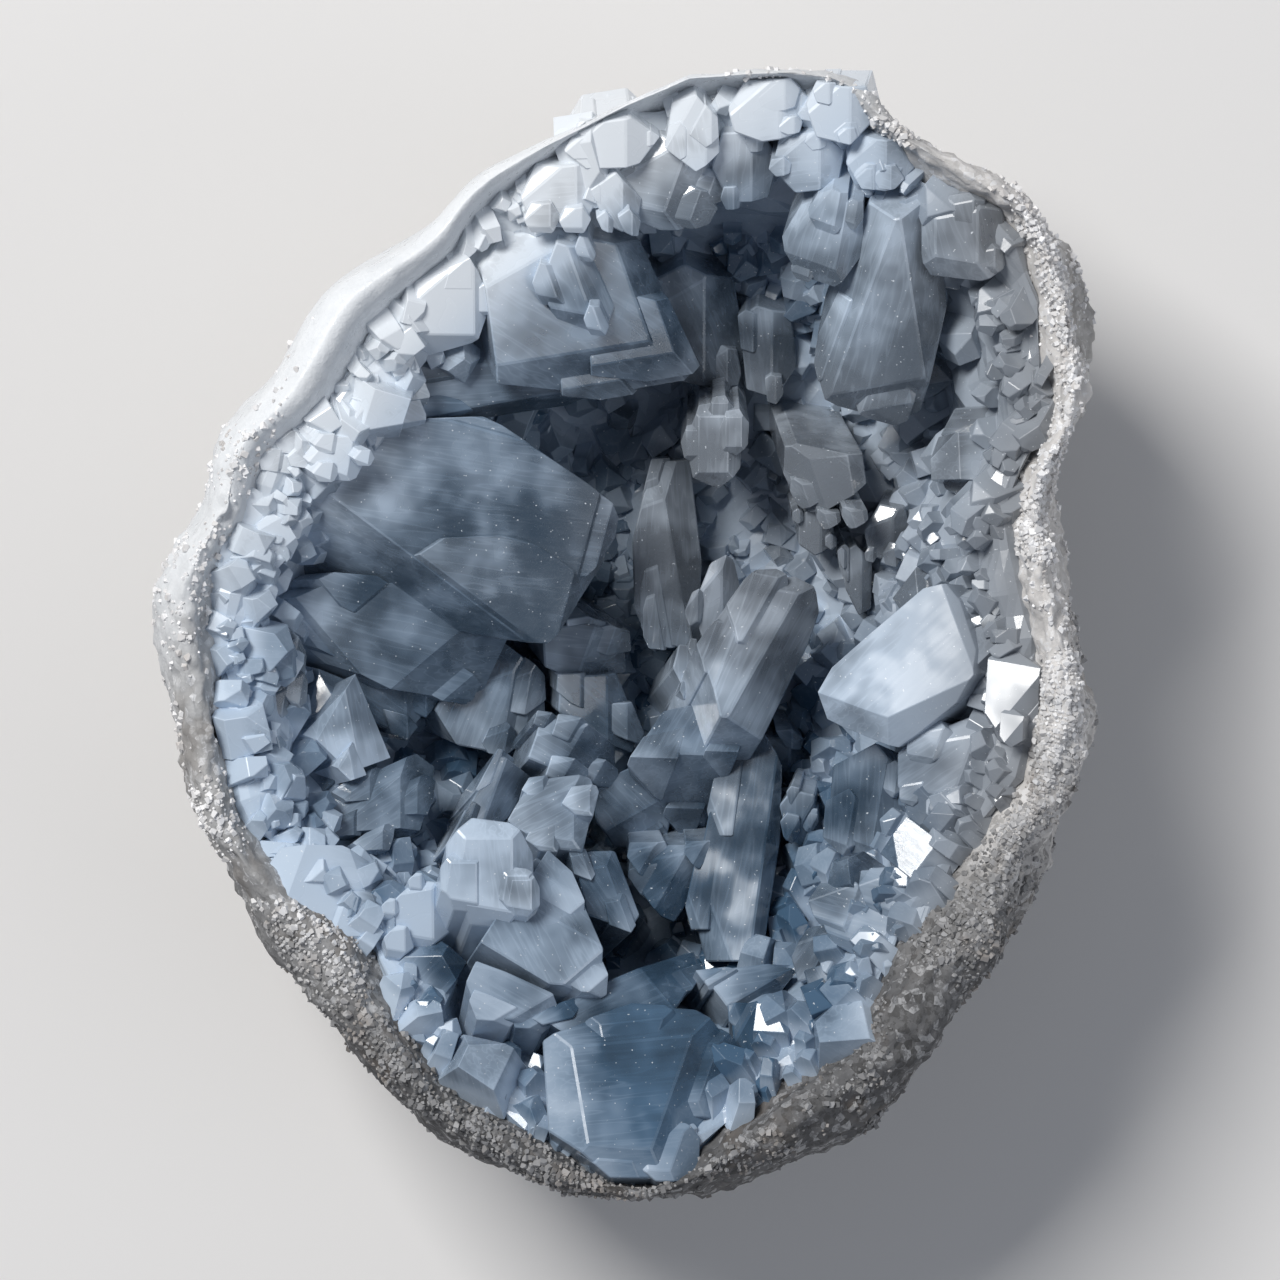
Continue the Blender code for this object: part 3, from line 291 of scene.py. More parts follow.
class Value:
    """One socket of a shader. Arithmetic on it adds Math nodes."""

    def __init__(self, socket):
        self.socket = socket

    def node(self, kind, settings, inputs, output=0):
        """Add any other node: its settings first, then the values or links of its sockets."""
        return add_node(self.socket.id_data, kind, settings, inputs, output)

    def math(self, operation, *values):
        inputs = dict(enumerate(values))
        return self.node("ShaderNodeMath", {"operation": operation}, inputs)

    def __add__(self, other):
        return self.math("ADD", self, other)

    def __sub__(self, other):
        return self.math("SUBTRACT", self, other)

    def __rsub__(self, other):
        return self.math("SUBTRACT", other, self)

    def __mul__(self, other):
        return self.math("MULTIPLY", self, other)

    __radd__ = __add__
    __rmul__ = __mul__

    def lesser(self, other):
        return self.math("MINIMUM", self, other)

    def greater(self, other):
        return self.math("MAXIMUM", self, other)

    def size(self):
        """How far it is from nought."""
        return self.math("ABSOLUTE", self)

    def step(self, low, high):
        """Nought at low, one at high, and smooth between them."""
        inputs = {"Value": self, "From Min": low, "From Max": high}
        return self.node("ShaderNodeMapRange", {"interpolation_type": "SMOOTHSTEP"}, inputs)

    def mix(self, dark, light):
        """Between two colours, by this value."""
        inputs = {0: self, 6: dark, 7: light}
        settings = {"data_type": "RGBA", "clamp_factor": True}
        return self.node("ShaderNodeMix", settings, inputs, 2)


def add_node(tree, kind, settings, inputs, output=0):
    """Make a node in a tree and hand back one of its outputs."""
    node = tree.nodes.new(kind)
    for name, setting in settings.items():
        setattr(node, name, setting)
    for name, value in inputs.items():
        if isinstance(value, Value):
            tree.links.new(value.socket, node.inputs[name])
        elif isinstance(value, tuple) and len(value) == 3 and node.inputs[name].type == "RGBA":
            node.inputs[name].default_value = (*value, 1.0)
        else:
            node.inputs[name].default_value = value
    return Value(node.outputs[output]) if node.outputs else node


class Finish:
    """A material under construction, with its object coordinates in millimetres."""

    def __init__(self, name):
        self.material = bpy.data.materials.new(name)
        self.material.use_nodes = True
        self.tree = self.material.node_tree
        self.tree.nodes.clear()
        place = self.node("ShaderNodeTexCoord", {}, {}, 3)
        self.place = self.scaled(place, 1.0 / MM)
        split = self.node("ShaderNodeSeparateXYZ", {}, {0: self.place})
        self.x = split
        self.y = Value(split.socket.node.outputs[1])
        self.z = Value(split.socket.node.outputs[2])

    def node(self, kind, settings, inputs, output=0):
        return add_node(self.tree, kind, settings, inputs, output)

    def attribute(self, name, output=2):
        """A value kept on the mesh, or with output 1 a vector."""
        return self.node("ShaderNodeAttribute", {"attribute_name": name}, {}, output)

    def vector(self, operation, *values, output=0):
        """Arithmetic on vectors, or with output 1 its single value."""
        return self.node("ShaderNodeVectorMath", {"operation": operation},
                         dict(enumerate(values)), output)

    def scaled(self, vector, amount):
        return self.node("ShaderNodeVectorMath", {"operation": "SCALE"}, {0: vector, 3: amount})

    def noise(self, size, detail=3.0, rough=0.55, place=None, shift=0.0):
        """Noise from about 0 to 1 whose features are this many millimetres across."""
        where = place or self.place
        if shift:
            where = self.vector("ADD", where, (shift, shift * 0.7, shift * 1.3))
        inputs = {"Vector": where, "Scale": 1.0 / size, "Detail": detail, "Roughness": rough}
        return self.node("ShaderNodeTexNoise", {}, inputs)

    def cells(self, size):
        """Voronoi cells of this size, each of one random colour."""
        inputs = {"Vector": self.place, "Scale": 1.0 / size}
        return self.node("ShaderNodeTexVoronoi", {"feature": "F1"}, inputs, 1)

    def bump(self, height, strength, distance):
        inputs = {"Height": height, "Strength": strength, "Distance": distance}
        return self.node("ShaderNodeBump", {}, inputs)

    def shader(self, inputs):
        return self.node("ShaderNodeBsdfPrincipled", {}, inputs)

    def surface(self, shader, volume=None):
        links = {0: shader, 1: volume} if volume else {0: shader}
        self.node("ShaderNodeOutputMaterial", {}, links)
        return self.material


def around_spot(finish, ragged, middle, radius):
    """One inside a spot with a ragged edge, nought outside it."""
    offset = finish.vector("DISTANCE", finish.place, middle, output=1)
    return (offset + (ragged - 0.5) * radius * 1.8).step(radius * 1.1, radius * 0.6)


def rind_finish():
    """Stone of fine celestite and clay: white where ground, grey, grainy, stained, painted shade
    below.
    """
    stone = Finish("rind_stone")
    x, y, z = stone.x, stone.y, stone.z
    wander = (stone.noise(11.0, 2.0, 0.6) - 0.5) * 16.0
    mottle = stone.noise(2.6, 3.0, 0.65, shift=7.0)
    grit = stone.noise(0.5, 2.0, 0.7, shift=3.0)
    grain = stone.node("ShaderNodeRGBToBW", {}, {0: stone.cells(0.8)})
    upper_left = (y - x * 0.8 + wander).step(22.0, 54.0)
    right = (x + wander * 0.6).step(18.0, 36.0) * (y + wander * 0.8).step(-34.0, -12.0)
    # Painted shade: low rises towards the bottom and down the stone, and turns the stone dark there.
    low = ((y + wander) * -1.0 + x * 0.2 + (48.0 - z) * 0.8).step(6.0, 44.0)
    outside = (z + wander * 0.3 - right * 12.0 - upper_left * 10.0).step(38.0, 14.0)

    tone = (mottle * 0.85 + grain * 0.3 - 0.07).greater(0.0).lesser(1.0)
    grey = tone.mix((0.20, 0.20, 0.20), (0.60, 0.60, 0.60))
    white = mottle.mix((0.66, 0.69, 0.72), (0.88, 0.90, 0.92))
    beige = tone.mix((0.46, 0.445, 0.43), (0.82, 0.80, 0.785))
    dark = tone.mix((0.03, 0.03, 0.031), (0.22, 0.22, 0.225))
    colour = low.mix(grey, dark)
    colour = right.mix(colour, beige)
    colour = upper_left.mix(colour, white)
    back = tone.mix((0.20, 0.195, 0.19), (0.46, 0.45, 0.435))
    colour = (outside * (1.0 - upper_left * 0.4)).mix(colour, back)
    flecks = (grit * 0.6 + grain * 0.5).step(0.62, 0.78)
    # Fewer pale flecks low down, as part of the painted shade.
    fleck = flecks * (1.0 - upper_left) * (0.65 - low * 0.4) * (1.0 - outside * 0.7)
    colour = fleck.mix(colour, (0.80, 0.81, 0.83))
    soot = (grit * 0.6 + mottle * 0.5 - grain * 0.3).step(0.42, 0.52)
    # Dark specks, with more of them low down as part of the painted shade.
    colour = (soot * (0.12 + low * 0.4) * (1.0 - upper_left * 0.85)).mix(colour, (0.04, 0.038, 0.036))
    earth = stone.noise(7.0, 3.0, 0.62, shift=90.0).step(0.53, 0.68)
    stain = earth * (1.0 - right * 0.5) * (1.0 - upper_left * 0.93) * (0.35 + outside * 0.4)
    colour = stain.mix(colour, (0.13, 0.10, 0.075))
    left_spot = around_spot(stone, mottle, (-42.0, -7.5, 46.0), 3.6)
    right_spot = around_spot(stone, mottle, (35.5, 7.2, 46.0), 3.0) * 0.8
    colour = (left_spot.greater(right_spot) * 0.85).mix(colour, (0.075, 0.055, 0.04))

    rough = 0.86 - upper_left * 0.38 - flecks * 0.3
    height = grit * 0.6 + mottle * 0.8 + grain * 0.5
    normal = stone.bump(height, 0.55, 0.00022)
    inputs = {"Base Color": colour, "Roughness": rough, "Normal": normal,
              "Specular IOR Level": 0.45}
    return stone.surface(stone.shader(inputs))


rind_points, rind_normals, _ = rind_grid(RIND_AROUND, RIND_STEPS, 3, -RIND_SHRINK, True)
rind = add_piece("rind_skin", grid_mesh("rind_skin", rind_points), rind_finish())
keep_inside(rind.data)
rind.data.shade_smooth()
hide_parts("rind")

# Sugary grains: small broken crystals of celestite, dense on the rim's right side and sparse along
# the lower left. Each is a cube with two opposite corners cut off, stretched, turned and half sunk.
SUGAR_COUNT = 7500
SUGAR_SIZE = (0.25, 0.8)
SUGAR_SEED = 23
CHIP = -0.1
CELESTITE_IOR = 1.62


def chipped_cube(cut):
    """Corners and triangles of a cube with sides of two and two opposite corners cut off."""
    signs = np.array(list(np.ndindex(2, 2, 2))) * 2.0 - 1.0
    whole = signs[1:-1]
    chips = [corner * np.where(np.eye(3) > 0.0, cut, 1.0) for corner in (signs[0], signs[-1])]
    bm = bmesh.new()
    for point in np.concatenate([whole, *chips]):
        bm.verts.new(point)
    bmesh.ops.convex_hull(bm, input=bm.verts)
    bmesh.ops.triangulate(bm, faces=bm.faces)
    bmesh.ops.recalc_face_normals(bm, faces=bm.faces)
    bm.verts.index_update()
    corners = np.array([vert.co for vert in bm.verts])
    triangles = np.array([[vert.index for vert in face.verts] for face in bm.faces])
    bm.free()
    return corners, triangles


def turned(rng, count):
    """Random rotations, one for each grain, from unit quaternions."""
    a, b, c, d = (lambda q: q / np.linalg.norm(q, axis=0))(rng.normal(size=(4, count)))
    rows = [1 - 2 * (c * c + d * d), 2 * (b * c - a * d), 2 * (b * d + a * c),
            2 * (b * c + a * d), 1 - 2 * (b * b + d * d), 2 * (c * d - a * b),
            2 * (b * d - a * c), 2 * (c * d + a * b), 1 - 2 * (b * b + c * c)]
    return np.array(rows).T.reshape(count, 3, 3)


def sugar_mesh():
    """Grains strewn over the rim: thick where it is sugary, and thin where it is ground."""
    rng = np.random.default_rng(SUGAR_SEED)
    crest = (len(OUTSIDE) - 1) * RIND_STEPS
    rows = slice(crest - 2 * RIND_STEPS, crest + 5 * RIND_STEPS)
    places, normals = rind_points[rows].reshape(-1, 3), rind_normals[rows].reshape(-1, 3)
    low = blend(-places[:, 1], 0.0, 25.0) * 0.45
    left = blend(-places[:, 0], 30.0, 44.0) * 0.35
    weight = np.maximum(sugary(places), np.maximum(low, left))
    weight *= 0.3 + 0.7 * blend(places[:, 2], 44.0, 48.0)
    weight *= (1.0 - ground(places)) * blend(lumps(places, 6.0, 51), -0.6, 0.5)
    chosen = rng.choice(len(places), SUGAR_COUNT, replace=False, p=weight / weight.sum())
    base, normal = places[chosen], normals[chosen]
    size = SUGAR_SIZE[0] + (SUGAR_SIZE[1] - SUGAR_SIZE[0]) * rng.random(SUGAR_COUNT) ** 3
    corners, triangles = chipped_cube(CHIP)
    shape = corners * rng.uniform(0.6, 1.0, (SUGAR_COUNT, 1, 3)) * (0.5 * size)[:, None, None]
    points = np.einsum("nij,nkj->nki", turned(rng, SUGAR_COUNT), shape)
    points += (base + normal * (0.05 * size)[:, None])[:, None]
    faces = triangles[None] + (np.arange(SUGAR_COUNT) * len(corners))[:, None, None]
    mesh = bpy.data.meshes.new("sugar_grains")
    mesh.from_pydata(points.reshape(-1, 3), [], faces.reshape(-1, 3).tolist())
    tone = np.repeat(rng.random(SUGAR_COUNT), len(triangles))
    mesh.attributes.new("tone", "FLOAT", "FACE").data.foreach_set("value", tone)
    return mesh


def sugar_finish():
    """Cloudy white to beige celestite, greyer low down by painted shade, with a glint on its faces.
    """
    sugar = Finish("sugary_celestite")
    tone = sugar.attribute("tone")
    colour = tone.mix((0.62, 0.61, 0.605), (0.92, 0.92, 0.93))
    wander = (sugar.noise(7.0, 2.0) - 0.5) * 24.0
    # Painted shade: the grains turn dark grey towards the bottom and lower down the stone.
    low = (sugar.y * -1.0 + sugar.x * 0.2 + (48.0 - sugar.z) * 1.5 + wander).step(6.0, 40.0)
    colour = (low * 0.9).mix(colour, tone.mix((0.10, 0.10, 0.101), (0.30, 0.30, 0.305)))
    earth = sugar.noise(5.0, 3.0, 0.6, shift=90.0).step(0.5, 0.7)
    colour = (earth * 0.35).mix(colour, (0.40, 0.33, 0.27))
    rough = 0.30 + sugar.noise(0.8, 2.0) * 0.4 + low * 0.2
    inputs = {"Base Color": colour, "Roughness": rough, "IOR": CELESTITE_IOR}
    return sugar.surface(sugar.shader(inputs))


sugar = add_piece("sugar_grains", sugar_mesh(), sugar_finish())
keep_inside(sugar.data)

# Crust of crystals: celestite grown on the hollow's wall, in great blades, blocks and clear caps,
# with druse between. Each crystal is a block cleaved along planes and bevelled, and all of them are
# fused into one solid that bites a little into the rind. Its faces keep each crystal's looks.
LINING_DEPTH = 2.6
LINING_BITE = 1.5
LINING_AROUND = 110
LINING_STEPS = 5
WALL_AROUND = 140
WALL_STEPS = 6
CRUST_BITE = 0.8
ROOT_WIDTH = 0.75
CRYSTAL_BEVEL = 0.16
GROWTH_BEVEL = 0.10
DRUSE_BEVEL = 0.07
DRUSE_SEED = 17
SHADE_SEED = 5
LINING_LIP = (0.6, 0.915)
LINING_TINT = 0.36
BLOCK_SIZE = 300.0
STUB_SIZE = 60.0
STUB_ROOT = 2.5
LEVEL_FLOOR = 34.0
CORNER_REACH = 2.5
NEAR_RIM = 0.84
GROWTH_SCALE = (0.28, 0.55)
GROWTH_MILK = (-0.15, 0.15)
GROWTH_TINT = (-0.1, 0.25)
DRUSE_MILK = (0.35, 0.9)
DRUSE_TINT = (0.1, 0.8)

# Each crystal: its tone, its root where it leaves the wall, the outline of its front seen from
# above, its height, the angle and slope of the front's fall, and bevels: a point, angle and slope.
CRYSTALS = {
    "great_blade": (
        "blue", (-47, 12, 20), [(-41, 13), (-39.5, 17), (-29.5, 21.5), (-14.2, 22.2), (-4, 15.9),
        (-1.5, 12.6), (-2.2, 7.8), (-8.1, -0.3), (-12, -0.2), (-36.6, 4)],
        43.5, (-20, 0.35), [(-15, 21.2, 75, 1.6), (-18, 5.6, -127, 1.2), (-4.6, 8, -15, 1.4)]),
    "striped_blade": (
        "blue", (-46, 0, 18), [(-36, 2), (-34, 4), (-29, 6), (-17, 5), (-12.1, 0), (-14.6, -5.2),
        (-17, -6.4), (-24, -5.2), (-30.6, -2.6)],
        38.5, (-60, 0.35), [(-20, -1.8, -50, 0.7), (-30, 0, -140, 0.9)]),
    "keel_tip": (
        "dark", (-36, -5, 16), [(-29, -1), (-22, -3), (-19.4, -6), (-22.6, -10.2), (-27, -8)],
        34.5, (-70, 0.5), [(-22.6, -6.5, 0, 0.8)]),
    "upper_mass": (
        "blue", (-16, 50, 20), [(-14.6, 36.8), (-12.6, 40.3), (-6.6, 41.2), (1.4, 40.3),
        (7.4, 27.8), (6.4, 26.6), (-2.6, 24.6), (-13, 25.5)],
        44.5, (-35, 0.5), [(1, 34, 20, 1.1), (-9, 38, 120, 0.9), (-4, 29, -80, 0.5)]),
    "pale_tusk": (
        "pale", (-4, 46, 26), [(-8.6, 35.5), (-7, 39.6), (-4, 39.4), (-1.1, 33.5), (-2.4, 30.8),
        (-6.4, 31)],
        47, (-60, 0.4), [(-4.4, 35, 20, 0.9), (-6.4, 33, -100, 1.1)]),
    "under_shelf": (
        "blue", (-30, 38, 20), [(-21.6, 27), (-14.6, 30.6), (-6, 28), (-2.6, 25), (-6.1, 23.6),
        (-14.2, 22.3), (-20.6, 22.3)],
        41.5, (-60, 0.4), [(-12, 27.6, 90, 0.8), (-12, 24, -80, 1.6)]),
    "white_shelf": (
        "white", (-30, 44, 30), [(-22, 30.5), (-21, 35.6), (-15.6, 38), (-13.4, 34), (-15.4, 29.6),
        (-20.5, 28.2)],
        49, (-60, 0.35), [(-18, 30.4, -90, 1.3), (-15.2, 34, 0, 1.2), (-19, 35.4, 130, 0.7)]),
    "facet_block": (
        "pale", (-34, 32, 24), [(-27.6, 25.4), (-25.6, 28.2), (-21.6, 28), (-20.2, 24.6),
        (-21, 21.6), (-26, 21.8)],
        47, (-30, 0.5), [(-23.5, 23, -80, 1), (-25.6, 26.4, 120, 0.6)]),
    "frosted_knob": (
        "white", (-41, 25, 34), [(-32.2, 18), (-30.4, 20.2), (-27, 20.2), (-26, 18), (-27, 16),
        (-30.6, 15.8)],
        50.5, (-45, 0.2), [(-27.6, 18, -10, 1), (-30, 17, -110, 0.9), (-30.5, 19, 140, 0.7)]),
    "lens_left": (
        "clear", (-45, 22, 34), [(-37.2, 18.6), (-35, 21), (-32.6, 20.6), (-31.8, 18),
        (-33.6, 16.4), (-36.4, 16.8)],
        50, (-60, 0.2), [(-33.2, 18.4, -10, 1), (-35.6, 19.6, 130, 0.7)]),
    "bright_root": (
        "white", (-48, 14, 30), [(-42, 8), (-41.6, 13.4), (-39, 16), (-35.6, 14), (-33.4, 9.6),
        (-35, 6.4), (-39.5, 6)],
        49.5, (-30, 0.45), [(-36, 9, -50, 0.8), (-40, 13, 120, 0.8)]),
    "egg_left": (
        "clear", (-46, -2, 28), [(-40.8, 0.6), (-37.4, 1.4), (-36.2, -2), (-37, -5.4),
        (-40.6, -4.4)],
        47, (-20, 0.4), [(-37.6, -3, -50, 1), (-39.4, -0.4, 120, 0.8)]),
    "egg_right": (
        "clear", (-43, -4, 26), [(-36.4, 0.2), (-34, 1), (-32.2, -1.6), (-32.6, -6), (-35, -7.4),
        (-37, -4.6)],
        44.5, (-30, 0.4), [(-33.6, -3, -10, 1), (-35.4, -1.4, 120, 0.9), (-35, -6, -110, 0.9)]),
    "cold_pyramid": (
        "pale", (-40, -14, 22), [(-32.8, -9.8), (-27.4, -3.6), (-24, -12.2), (-28, -13.6)],
        41, (-60, 0.3), [(-28, -7.6, 10, 0.9), (-29.6, -7.4, 150, 0.8)]),
    "leaf_slab": (
        "blue", (-41, -27, 14), [(-33.3, -20.2), (-31.6, -17.4), (-28.1, -14.7), (-21.4, -11.8),
        (-19.6, -13.2), (-20, -16.4), (-22.8, -25), (-25.6, -22.2), (-29.1, -19.7)],
        39, (20, 0.35), [(-23, -15.2, 0, 0.9), (-27, -17.4, 130, 0.5)]),
    "pale_hump": (
        "pale", (-38, -31, 26), [(-37, -24.4), (-34.6, -21), (-28.4, -20.8), (-23, -24.6),
        (-24.6, -29.6), (-29, -31.6), (-34.6, -30.6)],
        48, (-20, 0.3), [(-26.6, -24.4, 20, 0.9), (-33.6, -25, 160, 0.7), (-29, -29.4, -90, 0.8)]),
    "hump_shoulder": (
        "white", (-26, -36, 28), [(-24, -27), (-21, -24.2), (-18.6, -24.8), (-17.4, -29.4),
        (-20.4, -32), (-23.6, -31.4)],
        46.5, (-60, 0.3), [(-19.4, -28, 0, 1.1), (-21, -25.4, 100, 0.8), (-21.4, -30, -100, 0.9)]),
    "white_knob": (
        "white", (-19, -37, 24), [(-18, -20.6), (-15.4, -17.9), (-11.6, -18.4), (-9.3, -21.6),
        (-9.2, -26.4), (-12, -29.2), (-15.6, -28.8), (-18, -25)],
        50, (-60, 0.25), [(-11.4, -23, 0, 1), (-14.4, -20, 90, 0.9), (-14, -27, -100, 1),
        (-16.6, -23, 170, 0.8)]),
    "front_blade": (
        "pale", (-16, -42, 20), [(-9.2, -22.2), (-6.4, -22), (-4.6, -26), (0.6, -30.7),
        (-2.1, -35.2), (-3.6, -36.1), (-7.6, -34.7), (-14.6, -30.4)],
        46, (30, 0.35), [(-7, -28.4, 60, 0.7), (-4.2, -33, -50, 1)]),
    "p6_wedge": (
        "blue", (-8, -34, 14), [(-5.6, -21.7), (-1.1, -21.7), (1.4, -28.2), (0.4, -29.7),
        (-4, -28)],
        39, (30, 0.4), [(-1.4, -25, 20, 0.8), (-3.6, -23.4, 100, 0.6)]),
    "p3_pale": (
        "pale", (-12, -31, 14), [(-9.6, -14.4), (-3.6, -14.2), (-3, -15.7), (-4.4, -21.7),
        (-8.6, -21.2), (-12, -18.4)],
        40.5, (40, 0.35), [(-5.4, -17.6, 0, 0.9), (-9, -16.4, 110, 0.6), (-8, -20, -100, 0.7)]),
    "p2_grey": (
        "grey", (-22, -26, 14), [(-18, -20.8), (-13.1, -11.8), (-9.6, -14.2), (-12.1, -18.4),
        (-17.4, -21.2)],
        38, (-30, 0.4), [(-13.4, -15.6, -20, 0.9)]),
    "p1_streak": (
        "blue", (-14, -20, 10), [(-10, -12.2), (-8.6, -7.7), (-5.1, -8.4), (-1.1, -10.4),
        (-1.1, -15.2), (-6, -14.4)],
        36, (-45, 0.4), [(-5.4, -11, -30, 0.9), (-7.6, -9.6, 100, 0.6)]),
    "deep_slab_a": (
        "blue", (-24, -4, 6), [(-19.6, -7.4), (-17, -1.6), (-12.6, -0.4), (-8.8, -4), (-8.6, -9),
        (-12.6, -12), (-17.4, -11)],
        30.5, (-40, 0.4), [(-12, -6, -10, 0.7), (-16, -5, 110, 0.4)]),
    "deep_slab_b": (
        "grey", (-12, 6, 6), [(-8.6, 0.8), (-4, 1.6), (-0.2, 0.4), (0, -3.6), (-4.6, -4.6),
        (-8.4, -3)],
        29, (-60, 0.4), [(-4, -1.2, -20, 0.8)]),
    "deep_slab_c": (
        "dark", (-10, -3, 4), [(-6.8, -4), (-1, -3.6), (1.4, -9.6), (0.6, -12), (-4, -10.2),
        (-7, -7.6)],
        27.5, (-30, 0.4), [(-2, -7, 0, 0.7)]),
    "dusty_slab": (
        "dark", (4, 12, 4), [(0.6, 10), (2.6, 18.2), (6.6, 18.6), (7.8, 8), (7.4, -1), (2.4, -0.6),
        (0.8, 3)],
        26.5, (0, 0.3), [(5, 8, 10, 0.9), (3, 14, 110, 0.5)]),
    "lens_mid": (
        "blue", (12, -14, 6), [(6.8, 3), (8.6, 7.8), (11, 8.2), (11.8, 5), (10.6, 0.6), (8, -0.4)],
        31.5, (-60, 0.4), [(9.8, 4, 0, 0.8), (8.4, 5.6, 140, 0.6)]),
    "tall_blue": (
        "blue", (4, -20, 6), [(13.4, 6.2), (17.4, 6.4), (19.6, 4.8), (19.9, 2.8), (18.8, -0.4),
        (13.9, -10.4), (9.6, -8), (7.4, -0.6), (11, 4.4)],
        34.5, (40, 0.35), [(15.4, 0.8, -30, 0.9), (15, 5, 80, 0.9), (10.4, -1, 160, 0.4)]),
    "side_scale": (
        "pale", (2, -8, 8), [(5.4, -0.6), (7, -0.8), (7.6, -4.8), (6, -5.6), (4.8, -3)],
        31, (-40, 0.3), [(6.4, -3, -20, 0.9)]),
    "roof_pyramid": (
        "blue", (6, -20, 4), [(0.6, -12.4), (3.2, -7.6), (13.9, -5.6), (11.4, -11.4), (7.6, -21),
        (6.2, -20.4), (0.2, -13.4)],
        34, (60, 0.45), [(5, -11.8, -92, 1.5), (11, -10.6, -15, 0.9)]),
    "p5_slope": (
        "blue", (-2, -22, 6), [(-3.4, -15), (0.6, -13.2), (4.6, -18.6), (4, -21.6), (-1.2, -21.6),
        (-3.2, -18.8)],
        29, (-30, 0.3), [(1, -18, -60, 0.7)]),
    "p8_point": (
        "blue", (3, -19, 6), [(0.9, -21.3), (8.6, -21), (9.4, -23), (4.9, -29.2), (3.6, -28.6),
        (0.4, -24.4)],
        33, (60, 0.35), [(4.6, -24.6, -30, 0.9), (3, -22.6, 100, 0.6)]),
    "long_slab": (
        "blue", (11, -26, 4), [(9.8, -12), (14, -9.4), (16, -13), (15.9, -20.2), (13.9, -33.2),
        (8.2, -33.2), (6.6, -27)],
        31.5, (120, 0.22), [(14.4, -20, -8, 1.5), (9, -28, 200, 0.6)]),
    "brown_tip": (
        "blue", (20, -13, 8), [(15.7, -17.2), (17, -15.6), (19.4, -16.2), (19.6, -19), (18, -21.6),
        (16.4, -20.2)],
        30, (-30, 0.3), [(18.2, -18.6, -30, 0.9)]),
    "channel_scale": (
        "dark", (14, -4, 2), [(12.4, -10.6), (17, -10.2), (20.4, -13), (19.4, -16), (15, -15)],
        22, (-60, 0.4), [(17, -12.6, 0, 0.6)]),
    "violet_sheet": (
        "grey", (-4, -44, 16), [(-9.6, -38), (-5.6, -36.2), (0, -32.2), (6.4, -30.4), (7.6, -34),
        (4.4, -38.4), (-5, -40.4)],
        43, (60, 0.5), [(2, -34.2, 40, 0.6), (-6, -37.4, 130, 0.8)]),
    "p10_pale": (
        "pale", (8, -44, 18), [(7.6, -33.8), (14.4, -33), (17.4, -33.8), (14.4, -37.6),
        (10.6, -38.4)],
        40.5, (70, 0.3), [(12.4, -36, -60, 1)]),
    "p10_deep": (
        "blue", (14, -50, 20), [(10.6, -37.4), (14.4, -36.6), (18.6, -37.6), (18.4, -44),
        (14.4, -45.6), (11, -43)],
        41, (20, 0.4), [(15.6, -41, -20, 0.9), (12, -39, 150, 0.6)]),
    "blue_foot": (
        "pale", (-15, -46, 28), [(-14.6, -31.6), (-12, -32), (-7.4, -35.6), (-6, -37.4),
        (-8.6, -39.6), (-14.6, -38), (-16, -34.4)],
        48, (-10, 0.3), [(-9.4, -37, -60, 0.9), (-12, -33.4, 80, 0.8)]),
    "bottom_great": (
        "blue", (1, -55, 26), [(-8.4, -40.4), (0.6, -37), (7, -37.4), (11.4, -42), (11, -50),
        (5.4, -54.6), (-1.6, -54), (-7.8, -49.4)],
        48.5, (60, 0.3), [(4.4, -46, -20, 0.8), (-1, -40.6, 95, 0.6), (-4.6, -46, 190, 0.6),
        (1, -51, -95, 0.6)]),
    "arrowhead": (
        "white", (44, -2, 20), [(19.3, -5.5), (20.7, -3), (24.4, 0.3), (29.9, 5), (32.2, 5.5),
        (33.6, 3.8), (35.2, -1.2), (34.9, -3.7), (32.9, -7.2), (29.4, -9.7), (27.7, -11.1),
        (21.9, -9), (20.3, -8.2)],
        45.5, (150, 0.22), [(28, -7.2, -65, 0.9), (22.5, -6.6, -110, 0.9), (33, 2, 20, 1)]),
    "right_tablet": (
        "pale", (47, -4, 28), [(36.4, -2), (38.4, -0.7), (41.6, -3), (41.4, -8.6), (38.6, -10.2),
        (36, -7.4)],
        47.5, (150, 0.3), [(39.6, -6, -40, 0.9), (38, -2.4, 80, 0.8)]),
    "right_bead": (
        "clear", (46, 4, 26), [(35.9, 1.6), (37.2, 3.3), (39, 2.6), (38.8, 0.4), (37, -0.4)],
        45, (150, 0.2), [(38, 1, -30, 0.9), (36.6, 2, 140, 0.6)]),
    "right_block": (
        "pale", (45, -15, 22), [(27.4, -11.6), (30, -9.8), (34.6, -8), (37.4, -10.6), (36.4, -15.4),
        (32, -18), (28, -16.4)],
        43.5, (170, 0.3), [(34, -13, -20, 0.9), (31, -15.6, -100, 0.9), (32, -10.4, 100, 0.6)]),
    "shade_block": (
        "blue", (38, -21, 16), [(21, -13), (25.4, -10.6), (28, -13.4), (28.6, -20.4), (24.4, -23.4),
        (20.6, -20)],
        37.5, (180, 0.35), [(25.6, -17, -10, 0.8), (23.4, -20.6, -110, 0.8)]),
    "pale_lump": (
        "pale", (39, -35, 22), [(19.2, -26.6), (21.4, -23.6), (28, -23.2), (30.9, -26.2),
        (30, -31.4), (26, -33.7), (21, -31)],
        43.5, (160, 0.3), [(27, -28, -20, 0.8), (23, -25.6, 110, 0.7), (24, -31, -110, 0.9)]),
    "fang_a": (
        "clear", (28, -38, 20), [(16.7, -32.4), (18.4, -29.4), (21.6, -28.8), (21.9, -31.6),
        (19.6, -34.6), (17.4, -34.9)],
